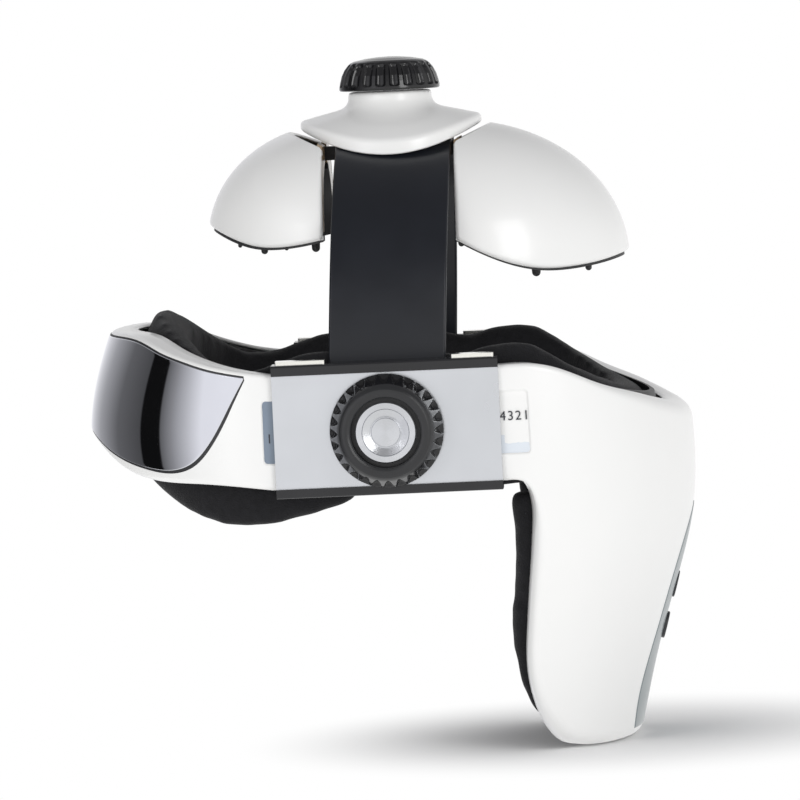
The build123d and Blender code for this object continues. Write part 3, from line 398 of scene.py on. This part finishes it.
def visorSheet(lowGrow, highGrow, radius, proud, lip):
    # the visor's outline moved out by a gap that may change along the edge
    low, high = unrolled(maskForm, visor["lower"], False), unrolled(maskForm, visor["upper"], False)
    share = np.linspace(0, 1, 190)
    low, high = readLine(low, share * runLength(low)[-1]), readLine(high, share * runLength(high)[-1])
    low = low - inwardNormal(low, 1) * np.interp(share, *lowGrow)[:, None]
    high = high - inwardNormal(high, -1) * highGrow
    radius = np.minimum(radius, 0.2 * np.linalg.norm(high - low, axis=1) + 0.02)
    return wrapSheet(maskForm, low, high, radius, radius, lip, proud, middle=40)


gasket = gridPiece("visorGasket", visorSheet(([0, 0.12, 0.3, 0.5, 1], [0.7, 1.5, 1.7, 1.0, 0.8]), 0.8, 0.35, 0.1, 0.8),
                   finishes["frameBlack"], "mask", (0, -50, 10), sharp=60)
giveWall(gasket, 0.6)
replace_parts(gasket, "visor_tray")
lens = gridPiece("visorLens", visorSheet(([0, 1], [0.0, 0.0]), 0.0, 0.45, visor["proud"], 0.6),
                 finishes["visorMirror"], "mask", (0, -50, 10), sharp=60)
giveWall(lens, 0.5)
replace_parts(lens, "visor_panel")
print("visor made")

# grey panel on the neck unit's back
leaf = [(0, -43.5), (12, -49), (20, -58), (23.6, -70), (24.8, -95), (28, -112), (29.8, -128), (27.5, -141)]


def leafPanel():
    # rows down the leaf, columns from edge to edge; x = half width * s, on the unit's surface, rounded by its
    # distance in
    line = smoothLine(leaf, 400)
    down = 0.5 - 0.5 * np.cos(np.pi * np.linspace(0, 1, 110))
    line = readLine(line, down * runLength(line)[-1])
    s = np.sin(np.pi / 2 * np.linspace(-1, 1, 91))
    x, z = line[:, :1] * s, line[:, 1:] + 0 * s
    width, depth = unitSize(neckForm, z)
    p = roll * (np.pi / 2 - np.arcsin(x / width))
    slide = np.minimum(line[:, :1] * (1 - np.abs(s)), np.minimum(runLength(line)[:, None], 141 + z))
    radius = 1.1
    near = np.maximum(radius - slide, 0)
    inset = radius - np.sqrt(np.maximum(radius**2 - near**2, 0)) - 0.3
    return wrapPoint(neckForm, p, z, inset)


panel = gridPiece("backPanel", leafPanel(), finishes["panelGrey"], "neck_unit", (0, 50, -90),
                  sharp=60)
giveWall(panel, 1.4)
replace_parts(panel, "back_panel")
print("back panel made")

# crown band
band = {"halfWidth": 88.0, "height": 95.0, "base": 30.0, "thick": 2.8, "lean": np.radians(3), "wide": 50.4,
        "offset": 0.85, "foot": 54.0, "edge": 1.15}


def bandGrid():
    # path: straight foot, half ellipse, straight foot; profile: a rounded strip, carried along the path's normal
    angle = np.linspace(0, np.pi, 181)
    half = band["thick"] / 2
    a, b = band["halfWidth"] - half, band["height"] - half
    foot = np.linspace(-band["foot"], 0, 12)[:-1]
    x = np.concatenate([0 * foot + a, a * np.cos(angle), 0 * foot - a])
    up = np.concatenate([foot, b * np.sin(angle), foot[::-1]])
    nx = np.concatenate([0 * foot + 1, np.cos(angle) * b, 0 * foot - 1])
    nz = np.concatenate([0 * foot, np.sin(angle) * a, 0 * foot])
    size = np.hypot(nx, nz)
    nx, nz = nx / size, nz / size
    turn = np.linspace(0, 2 * np.pi, 48, endpoint=False)
    c, s = np.cos(turn), np.sin(turn)
    across = np.sign(c) * (band["wide"] / 2 - band["edge"]) + band["edge"] * c
    out = np.sign(s) * (half - band["edge"]) + band["edge"] * s
    flatX = x[:, None] + nx[:, None] * out
    flatUp = up[:, None] + nz[:, None] * out
    lean = band["lean"]
    y = band["offset"] - across * np.cos(lean) + flatUp * np.sin(lean)
    z = band["base"] + across * np.sin(lean) + flatUp * np.cos(lean)
    points = np.stack([flatX, y, z], axis=-1)
    ends = [np.repeat(points[k].mean(axis=0)[None, None], len(turn), axis=1) for k in (0, -1)]
    return np.concatenate([ends[0], points, ends[1]])


strap = gridPiece("crownStrap", bandGrid(), finishes["bandNavy"], "headset_frame", (0, 0, 30), ring=True,
                  sharp=60)
bm = bmesh.new()
bm.from_mesh(strap.data)
bmesh.ops.recalc_face_normals(bm, faces=bm.faces)
bm.to_mesh(strap.data)
bm.free()
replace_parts(strap, "crown_band")
print("crown band made")

# crown hub
crownY = 4.0
hub = {
    # (radius, height, share of the saddle's drop, share of the rim's thickness, slope under the wings)
    "rows": [(0, 143.2, 0, 0, 0), (12, 143.2, 0, 0, 0), (17.0, 143.2, 0, 0, 0), (17.8, 142.9, 0, 0, 0), (18.2, 142.2,
                                                                                                         0, 0, 0),
             (18.35, 140.6, 0.02, 0, 0), (18.8, 138.8, 0.12, 0, 0), (19.9, 137.2, 0.35, 0, 0), (21.8, 136.0, 0.65, 0,
                                                                                                0),
             (24.5, 135.2, 0.9, 0, 0), (28, 134.4, 1, 0, 0), (33, 133.2, 1, 0, 0), (37.6, 132.1, 1, 0, 0),
             (39.0, 131.6, 1, 0, 0), (39.7, 130.9, 1, 0, 0), (39.9, 130.0, 1, 0, 0), (39.9, 132.2, 1, 1, 0),
             (39.5, 131.6, 1, 1, 0), (38.6, 131.3, 1, 1, 0.4), (31, 131.3, 1, 1, 3.8), (24, 131.3, 1, 1, 7.0),
             (12, 128.0, 0.8, 0.5, 3.0), (0, 124.0, 0, 0, 0)],
    "rimThin": 3.8, "rimThick": 6.2,
}


def hubGrid():
    # z = profile - drop(x), drop(x) = 101.2 (1 - sqrt(1 - (x / 94.2)^2)); the rim is thicker over the band
    rho, height, drop, rim, slope = smoothLine(hub["rows"][:15], 60).T
    rows = np.concatenate([np.stack([rho, height, drop, rim, slope], axis=1), hub["rows"][15:]])
    rho, height, drop, rim, slope = [rows[:, k:k + 1] for k in range(5)]
    theta = np.linspace(0, 2 * np.pi, 144, endpoint=False)
    x, y = rho * np.sin(theta), crownY + rho * np.cos(theta)
    fall = 101.2 * (1 - np.sqrt(1 - (x / 94.2)**2))
    thick = hub["rimThin"] + (hub["rimThick"] - hub["rimThin"]) * np.sin(theta)**2
    z = height - np.clip(drop, 0, 1) * fall - np.clip(rim, 0, 1) * thick - slope * np.cos(theta)**2
    return np.stack([x, y, z], axis=-1)


saddle = gridPiece("crownHub", hubGrid(), finishes["whiteShell"], "headset_frame", (0, crownY, 128), ring=True,
                   sharp=40)
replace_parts(saddle, "hub_shell")
print("crown hub made")

# scalp lobes
lobes = {
    "front": {"centre": (0, -22, 80), "axes": (62, 57, 50), "out": -1, "edge": -25.5, "top": 120.8, "rise": 7.2 / 15.5,
              "rim": [(-25.5, 81), (-44, 78.3), (-57, 79.0), (-72, 84.6), (-79, 88), (-95, 99)],
              "nubs": [(-63.4, 0.9, 2.8), (-52.8, 1.5, 3.6), (-43.1, 0.9, 2.4), (-30.3, 1.8, 5.4)]},
    "rear": {"centre": (0, 30, 66), "axes": (62, 76.5, 63), "out": 1, "edge": 32.0, "top": 120.8, "rise": 7.0 / 15.0,
             "rim": [(32, 78.6), (42, 73), (55, 67.3), (68, 64.1), (84, 64.0), (97, 65.8), (120, 73)],
             "nubs": [(33.4, 1.4, 3.6), (65.5, 1.9, 4.8), (88.4, 1.4, 3.2)]},
}
lobeRound = 2.0


def domeAngles(lobe, line):
    # (turn, climb) of side-view points on the dome, up to where they cross the middle plane
    b, c = lobe["axes"][1:]
    along = lobe["out"] * (line[:, 0] - lobe["centre"][1])
    climb = np.arcsin(np.clip((line[:, 1] - lobe["centre"][2]) / c, -1, 1))
    share = along / (b * np.cos(climb))
    stop = int(np.argmax(share >= 1)) if (share >= 1).any() else len(line)
    turn = np.arccos(np.clip(share, -1, 1))
    angles = np.stack([turn, climb], axis=1)[:stop]
    return angles, (climb[stop] if stop < len(line) else climb[-1])


def domeGrid(lobe):
    # patch blended from its four edges in (turn, climb), mapped to (a cos e sin t, b cos e cos t, c sin e)
    a, b, c = lobe["axes"]
    out, edge = lobe["out"], lobe["edge"]
    rim, rimEnd = domeAngles(lobe, smoothLine(lobe["rim"], 2400))
    reach = np.linspace(0, 40, 2400)
    slant = np.stack([edge + out * reach, lobe["top"] + reach * lobe["rise"]], axis=1)
    crest, crestEnd = domeAngles(lobe, slant)
    rim, crest = np.concatenate([rim, [[0, rimEnd]]]), np.concatenate([crest, [[0, crestEnd]]])
    u = 1 - np.cos(np.pi / 2 * np.linspace(0, 1, 90))
    v = (0.5 - 0.5 * np.cos(np.pi * np.linspace(0, 1, 90)))
    low, high = readLine(rim, u * runLength(rim)[-1]), readLine(crest, u * runLength(crest)[-1])
    upright = np.stack([0 * v + edge, rimZ(lobe) + v * (lobe["top"] - rimZ(lobe))], axis=1)
    side = domeAngles(lobe, upright)[0]
    middle = low[-1] + v[:, None] * (high[-1] - low[-1])
    u, v = u[None, :, None], v[:, None, None]
    blend = (1 - v) * low + v * high + (1 - u) * side[:, None] + u * middle[:, None]
    corners = (1 - u) * (1 - v) * low[0] + u * (1 - v) * low[-1] + (1 - u) * v * high[0] + u * v * high[-1]
    turn, climb = np.moveaxis(blend - corners, -1, 0)
    unit = np.stack([np.cos(climb) * np.sin(turn), out * np.cos(climb) * np.cos(turn), np.sin(climb)], axis=-1)
    points = np.asarray(lobe["centre"]) + unit * (a, b, c)
    normal = unit / (a, b, c)
    normal /= np.linalg.norm(normal, axis=-1, keepdims=True)
    stepV = np.concatenate([np.zeros((1, points.shape[1])), np.cumsum(np.linalg.norm(np.diff(points, axis=0),
                                                                                     axis=-1), axis=0)])
    stepU = np.concatenate([np.zeros((points.shape[0], 1)), np.cumsum(np.linalg.norm(np.diff(points, axis=1),
                                                                                     axis=-1), axis=1)], axis=1)
    near = sum(np.maximum(lobeRound - d, 0)**2 for d in (stepV, stepV[-1] - stepV, stepU))
    inset = lobeRound - np.sqrt(np.maximum(lobeRound**2 - near, 0))
    return mirrorHalf(points - inset[..., None] * normal)


def rimZ(lobe):
    return lobe["rim"][0][1]


for name, lobe in lobes.items():
    dome = gridPiece(f"{name}LobeDome", domeGrid(lobe), finishes["whiteShell"], f"{name}_lobe", lobe["centre"],
                     sharp=60)
    giveWall(dome, 2.0)
    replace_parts(dome, f"{name}_lobe_shell")


def nubGrid(at, radius, drop):
    # a finger with a round tip, radius * sqrt(1 - t^2) over its last radius of height
    y, top = at
    tip = radius * (1 - np.cos(np.linspace(0, np.pi / 2, 9)))
    line = np.array([(0, top), (radius * 1.25, top)] + [(radius * np.sqrt(max(1 - (1 - h / radius)**2, 0)),
                                                         top - nubLook["root"] - drop + h)
                    for h in tip[::-1]])
    theta = np.linspace(0, 2 * np.pi, 24, endpoint=False)
    radii, z = line[:, :1], line[:, 1:]
    return np.stack([nubLook["side"] + radii * np.cos(theta), y + radii * np.sin(theta), z + 0 * theta], axis=-1)


nubLook = {"root": 6.0, "side": 30.0}
for name, lobe in lobes.items():
    edge = smoothLine(lobe["rim"])
    order = np.argsort(edge[:, 0])
    for k, (y, radius, drop) in enumerate(lobe["nubs"]):
        foot = float(np.interp(y, edge[order, 0], edge[order, 1]))
        gridPiece(f"{name}Nub{k + 1}", nubGrid((y, foot + nubLook["root"]), radius, drop), finishes["siliconeBlack"],
                  f"{name}_lobe",
                        (nubLook["side"], y, foot), ring=True, sharp=60)
print("lobe domes made")

# knobs
sideKnob = {
    "face": 103.0, "gouges": 28,
    "body": [(1.6, 0), (1.6, 23.2), (1.9, 23.8), (2.5, 24.3), (3.6, 24.5), (4.6, 24.4), (9.0, 22.9), (14.0, 21.0),
             (14.9, 20.6)],
    "ring": [(14.9, 20.6), (16.0, 20.0), (16.9, 19.3), (17.45, 18.4), (17.6, 17.4), (17.55, 16.4), (17.2, 15.5),
             (16.4, 14.95),
             (15.2, 14.8), (12.0, 14.8), (12.0, 3.0)],
    "depth": 2.5,
}
crownKnob = {
    "flutes": 22, "depth": 1.7,
    "profile": [(0, 143.7), (21.3, 143.7), (21.9, 143.9), (22.2, 144.4), (22.15, 145.4), (21.7, 147.6), (20.9, 150.4),
                (19.6, 153.0),
                (18.0, 155.0), (16.8, 156.0), (15.2, 156.7), (10.0, 157.7), (5.0, 158.2), (0, 158.4)],
}


def denseProfile(points, step):
    # straight runs between the points, divided to that step, corners kept
    points = np.asarray(points, float)
    run = runLength(points)
    places = np.unique(np.concatenate([run, np.arange(0, run[-1], step)]))
    return readLine(points, places)


def knobGrid(profile, side, gouged):
    # radius = profile - depth * end ramp * (1 - (a / h)^2), h shrinking towards the ring like (1 - t)^0.55
    line = denseProfile(profile, 0.35)
    count = sideKnob["gouges"] * 16
    theta = np.linspace(0, 2 * np.pi, count, endpoint=False)
    along, radius = line[:, :1], line[:, 1:]
    if gouged:
        t = (along - 2.9) / (15.0 - 2.9)
        inside = np.clip(1 - t, 0, 1)
        a = (theta * sideKnob["gouges"] / (2 * np.pi) + 0.5) % 1 - 0.5
        h = 0.48 * inside**0.5 + 1e-6
        cut = sideKnob["depth"] * ease(t / 0.16) * inside**0.75 * np.maximum(1 - (a / h)**2, 0)**0.8
        radius = radius - np.where(radius > 20, cut, 0)
    x = side * (sideKnob["face"] + along + 0 * theta)
    return np.stack([x, radius * np.cos(theta), radius * np.sin(theta)], axis=-1)


def joinPieces(first, second):
    # second's mesh and materials added to first
    bm = bmesh.new()
    bm.from_mesh(first.data)
    kept = len(first.data.materials)
    for material in second.data.materials:
        first.data.materials.append(material)
    before = len(bm.faces)
    bm.from_mesh(second.data)
    bm.faces.ensure_lookup_table()
    for face in bm.faces[before:]:
        face.material_index += kept
    bmesh.ops.remove_doubles(bm, verts=bm.verts, dist=2e-6)
    bm.to_mesh(first.data)
    bm.free()
    bpy.data.objects.remove(second)
    return first


for side, label in ((1, "left"), (-1, "right")):
    about = (side * 110.0, 0, 0)
    grip = gridPiece(f"{label}KnobGrip", knobGrid(sideKnob["body"], side, True), finishes["knobBlack"], None, about,
                     ring=True, sharp=42)
    collar = gridPiece(f"{label}KnobCollar", knobGrid(sideKnob["ring"], side, False), finishes["knobRing"], None,
                       (side * 116.0, 0, 0), ring=True, sharp=42)
    collar = joinPieces(grip, collar)
    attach(collar, f"{label}_knob")
    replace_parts(collar, f"side_knob_{label}")


def crownGrid():
    # radius = profile - depth * sqrt(1 - (a / h)^2), a round groove that starts above the skirt and fades on the
    # shoulder
    line = denseProfile(crownKnob["profile"], 0.4)
    theta = np.linspace(0, 2 * np.pi, crownKnob["flutes"] * 16, endpoint=False)
    radius, z = line[:, :1], line[:, 1:]
    a = (theta * crownKnob["flutes"] / (2 * np.pi) + 0.5) % 1 - 0.5
    rise = np.clip((z - 145.4) / 1.3, 0, 1)
    h = 0.37 * np.sqrt(rise * (2 - rise)) + 1e-6
    fade = 1 - ease((z - 153.6) / 2.6)
    cut = crownKnob["depth"] * np.sqrt(np.maximum(1 - (a / h)**2, 0)) * fade * (rise > 0)
    radius = radius - np.where(radius > 14, cut, 0)
    return np.stack([radius * np.sin(theta), crownY + radius * np.cos(theta), z + 0 * theta], axis=-1)


crown = gridPiece("crownGrip", crownGrid(), finishes["knobBlack"], "crown_dial", (0, crownY, 150), ring=True,
                  sharp=42)
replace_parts(crown, "crown_knob")
print("knobs made")

# numbers beside the side plates
numberLook = {"size": 5.7, "thick": 0.05, "spacing": 1.18, "count": 6}


def numberRow(name, body, first, forward, side, height):
    # the figures 1, 2, 3... printed from the open end of a window towards the plate
    letters = "".join(str(k + 1) for k in range(numberLook["count"]))
    if forward * side < 0:
        letters = letters[::-1]
    text = bpy.data.curves.new(name, "FONT")
    text.body, text.size, text.extrude = letters, numberLook["size"] * mm, numberLook["thick"] * mm
    text.space_character = numberLook["spacing"]
    holder = bpy.data.objects.new(name + "Text", text)
    bpy.context.collection.objects.link(holder)
    mesh = bpy.data.meshes.new_from_object(holder.evaluated_get(bpy.context.evaluated_depsgraph_get()))
    bpy.data.objects.remove(holder)
    count = len(mesh.vertices)
    flat = np.empty(count * 3)
    mesh.vertices.foreach_get("co", flat)
    flat = flat.reshape(-1, 3) / mm
    run = flat[:, 0] - flat[:, 0].min() if forward * side > 0 else flat[:, 0] - flat[:, 0].max()
    y = first + side * run
    form = maskForm if body == "mask" else neckForm
    along = form["out"] * (y - form["centre"])
    width, depth = unitSize(form, 0 * y)
    p = np.where(along < 0, along, roll * np.arcsin(np.clip(along / depth, 0, 1)))
    placed = wrapPoint(form, p, height + flat[:, 1], 0.58 - flat[:, 2])
    placed[:, 0] *= side
    mesh.vertices.foreach_set("co", (placed * mm).ravel())
    mesh.materials.clear()
    mesh.materials.append(finishes["printInk"])
    mesh.update()
    piece = bpy.data.objects.new(name, mesh)
    bpy.context.collection.objects.link(piece)
    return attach(piece, body)


for side, label in ((1, "Left"), (-1, "Right")):
    numberRow(f"maskNumbers{label}", "mask", -50.9, 1, side, -3.6)
    numberRow(f"neckNumbers{label}", "neck_unit", 60.0, -1, side, 1.8)
print("numbers printed")

# cushions
cushions = {
    "eyeCushion": {"node": "eye_cushion", "body": "mask", "cap": 4.0, "pressure": 4.0},
    "backCushion": {"node": "back_cushion", "body": "neck_unit", "cap": 3.0, "pressure": 4.0},
    "neckCushion": {"node": "neck_cushion", "body": "neck_unit", "cap": 4.5, "pressure": 4.0},
}


def readVerts(mesh):
    flat = np.empty(len(mesh.vertices) * 3, np.float32)
    mesh.vertices.foreach_get("co", flat)
    return flat.reshape(-1, 3).astype(float)


def bakeModifiers(piece):
    # the evaluated mesh in place of the modifiers
    solved = bpy.data.meshes.new_from_object(piece.evaluated_get(bpy.context.evaluated_depsgraph_get()))
    piece.modifiers.clear()
    piece.data = solved


def stuffed(name, values):
    # a copy of the solid, a little smaller, remeshed, blown up as cloth with its travel capped, then smoothed once
    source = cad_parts[values["node"]]
    mesh = source.data.copy()
    bm = bmesh.new()
    bm.from_mesh(mesh)
    bmesh.ops.remove_doubles(bm, verts=bm.verts, dist=1e-5)
    bmesh.ops.recalc_face_normals(bm, faces=bm.faces)
    bm.to_mesh(mesh)
    bm.free()
    piece = bpy.data.objects.new(name, mesh)
    bpy.context.collection.objects.link(piece)
    remesh = piece.modifiers.new("remesh", "REMESH")
    remesh.mode, remesh.voxel_size = "VOXEL", 3 * mm
    soften = piece.modifiers.new("soften", "SMOOTH")
    soften.factor, soften.iterations = 0.5, 8
    bakeModifiers(piece)
    start = readVerts(piece.data)
    cloth = piece.modifiers.new("cloth", "CLOTH")
    cloth.settings.use_pressure = True
    cloth.settings.uniform_pressure_force = values["pressure"]
    cloth.settings.effector_weights.gravity = 0
    cloth.settings.quality = 5
    for step in range(1, 21):
        bpy.context.scene.frame_set(step)
    bakeModifiers(piece)
    moved = readVerts(piece.data) - start
    far = np.linalg.norm(moved, axis=1, keepdims=True)
    cap = values["cap"] * mm
    moved *= cap * np.tanh(far / cap) / np.maximum(far, 1e-9)
    piece.data.vertices.foreach_set("co", (start + moved).astype(np.float32).ravel())
    bpy.context.scene.frame_set(1)
    settle = piece.modifiers.new("settle", "SMOOTH")
    settle.factor, settle.iterations = 0.5, 6
    subdivide = piece.modifiers.new("subdivide", "SUBSURF")
    subdivide.levels = subdivide.render_levels = 1
    bakeModifiers(piece)
    piece.data.polygons.foreach_set("use_smooth", np.ones(len(piece.data.polygons), bool))
    piece.data.materials.clear()
    piece.data.materials.append(finishes["cushionCloth"])
    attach(piece, values["body"])
    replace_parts(piece, values["node"])
    return piece


made = {name: stuffed(name, values) for name, values in cushions.items()}
print("cushions made")

# floor, light, camera
floorZ = float(cadBox[0][2]) - 0.0004
floorMesh = bpy.data.meshes.new("floor")
floorMesh.from_pydata([(-8, -8, floorZ), (8, -8, floorZ), (8, 8, floorZ), (-8, 8, floorZ)], [], [(0, 1, 2, 3)])
floor = bpy.data.objects.new("floor", floorMesh)
bpy.context.collection.objects.link(floor)
floorPaint = bpy.data.materials.new("floorPaint")
floorPaint.use_nodes = True
tree = floorPaint.node_tree
tree.nodes["Principled BSDF"].inputs["Base Color"].default_value = (0.93, 0.93, 0.93, 1)
tree.nodes["Principled BSDF"].inputs["Roughness"].default_value = 0.75
place = addNode(tree, "ShaderNodeTexCoord")
length = addNode(tree, "ShaderNodeVectorMath", operation="DISTANCE")
tree.links.new(place.outputs["Object"], length.inputs[0])
length.inputs[1].default_value = (0, 0.09, floorZ)
fade = addNode(tree, "ShaderNodeMapRange", interpolation_type="SMOOTHSTEP")
fade.inputs["From Min"].default_value, fade.inputs["From Max"].default_value = 0.03, 0.17
tree.links.new(length.outputs["Value"], fade.inputs["Value"])
glow = addNode(tree, "ShaderNodeEmission", in_Color=(1, 1, 1, 1), in_Strength=1.0)
mixed = addNode(tree, "ShaderNodeMixShader")
tree.links.new(fade.outputs["Result"], mixed.inputs["Fac"])
tree.links.new(tree.nodes["Principled BSDF"].outputs["BSDF"], mixed.inputs[1])
tree.links.new(glow.outputs["Emission"], mixed.inputs[2])
tree.links.new(mixed.outputs["Shader"], tree.nodes["Material Output"].inputs["Surface"])
floorMesh.materials.append(floorPaint)
floor.visible_glossy = False

world = bpy.data.worlds.new("studio")
bpy.context.scene.world = world
world.use_nodes = True
tree = world.node_tree
place = addNode(tree, "ShaderNodeTexCoord")
split = addNode(tree, "ShaderNodeSeparateXYZ")
tree.links.new(place.outputs["Generated"], split.inputs["Vector"])
sky = addNode(tree, "ShaderNodeValToRGB")
sky.color_ramp.elements[0].position, sky.color_ramp.elements[0].color = 0.06, (1.0, 1.0, 1.0, 1)
sky.color_ramp.elements[1].position, sky.color_ramp.elements[1].color = 0.7, (0.34, 0.34, 0.35, 1)
tree.links.new(split.outputs["Z"], sky.inputs["Fac"])
tree.links.new(sky.outputs["Color"], tree.nodes["Background"].inputs["Color"])


def softBox(name, at, toward, size, power):
    light = bpy.data.lights.new(name, "AREA")
    light.shape, light.size, light.size_y, light.energy = "RECTANGLE", size[0], size[1], power
    lamp = bpy.data.objects.new(name, light)
    bpy.context.collection.objects.link(lamp)
    lamp.location = at
    lamp.rotation_euler = (Vector(toward) - Vector(at)).to_track_quat("-Z", "Y").to_euler()
    return lamp


softBox("keyLight", (1.3, 0.9, 0.55), (0, 0, 0), (0.5, 0.9), 6)
softBox("fillLight", (1.4, -0.9, 0.2), (0, -0.05, 0), (0.5, 0.9), 4)

# dark and graded cards on the visor's side, for its reflections only
card = {"radius": 1.6, "low": -1.0, "high": 1.3, "from": 8, "to": 172}
spread = np.radians(np.linspace(card["from"], card["to"], 90))
ring = np.stack([card["radius"] * np.cos(spread), -0.05 - card["radius"] * np.sin(spread)], axis=1)
cardVerts = np.concatenate([np.c_[ring, np.full(90, card["low"])], np.c_[ring, np.full(90, card["high"])]])
cardMesh = bpy.data.meshes.new("gradedCard")
cardMesh.from_pydata(cardVerts.tolist(), [], [(k, k + 1, k + 91, k + 90) for k in range(89)])
gradedCard = bpy.data.objects.new("gradedCard", cardMesh)
bpy.context.collection.objects.link(gradedCard)
cardPaint = bpy.data.materials.new("gradedCard")
cardPaint.use_nodes = True
tree = cardPaint.node_tree
place = addNode(tree, "ShaderNodeTexCoord")
split = addNode(tree, "ShaderNodeSeparateXYZ")
tree.links.new(place.outputs["Object"], split.inputs["Vector"])
minus = addNode(tree, "ShaderNodeMath", operation="MULTIPLY")
minus.inputs[1].default_value = -1
tree.links.new(split.outputs["Y"], minus.inputs[0])
bearing = addNode(tree, "ShaderNodeMath", operation="ARCTAN2")
tree.links.new(minus.outputs["Value"], bearing.inputs[0])
tree.links.new(split.outputs["X"], bearing.inputs[1])
share = addNode(tree, "ShaderNodeMapRange")
share.inputs["From Min"].default_value, share.inputs["From Max"].default_value = 0, np.pi
tree.links.new(bearing.outputs["Value"], share.inputs["Value"])
tone = addNode(tree, "ShaderNodeValToRGB")
steps = [(0.06, 1.0), (0.29, 0.95), (0.35, 0.6), (0.41, 0.3), (0.455, 0.13), (0.458, 0.006), (0.54, 0.006), (0.545,
                                                                                                             0.08),
                                                                                                             (0.66,
                                                                                                              0.14),
         (0.78, 0.4), (0.9, 0.85), (0.96, 1.0)]
ramp = tone.color_ramp
while len(ramp.elements) < len(steps):
    ramp.elements.new(0.5)
for element, (position, level) in zip(ramp.elements, steps):
    element.position, element.color = position, (level, level, level * 1.04, 1)
tree.links.new(share.outputs["Result"], tone.inputs["Fac"])
glow = addNode(tree, "ShaderNodeEmission", in_Strength=1.0)
tree.links.new(tone.outputs["Color"], glow.inputs["Color"])
tree.links.new(glow.outputs["Emission"], tree.nodes["Material Output"].inputs["Surface"])
cardMesh.materials.append(cardPaint)
gradedCard.visible_camera = gradedCard.visible_diffuse = gradedCard.visible_shadow = False
gradedCard.visible_transmission = gradedCard.visible_volume_scatter = False

camera = {"target": (0, 0, 0.02), "distance": 3.0, "bearing": 92.3, "height": 0.187, "tilt": 2.72, "lens": 305.8,
          "aimRight": 0.00091, "aimUp": -0.00446}
target = Vector(camera["target"])
bearing = np.radians(camera["bearing"])
eye = Vector((target.x + camera["distance"] * np.sin(bearing), -camera["distance"] * np.cos(bearing), camera["height"]))
toward = (target - eye).normalized()
right = toward.cross(Vector((0, 0, 1))).normalized()
up = right.cross(toward)
tilt = np.radians(camera["tilt"])
right, up = right * np.cos(tilt) - up * np.sin(tilt), right * np.sin(tilt) + up * np.cos(tilt)
aim = (toward + right * camera["aimRight"] + up * camera["aimUp"]).normalized()
right = (right - aim * right.dot(aim)).normalized()
up = (-aim).cross(right)
lensData = bpy.data.cameras.new("camera")
lensData.lens, lensData.sensor_width, lensData.clip_end = camera["lens"], 36, 50
cam = bpy.data.objects.new("camera", lensData)
bpy.context.collection.objects.link(cam)
cam.matrix_world = Matrix.Translation(eye) @ Matrix((right, up, -aim)).transposed().to_4x4()
bpy.context.scene.camera = cam
bpy.context.scene.view_settings.view_transform = "Standard"
print("stage set")
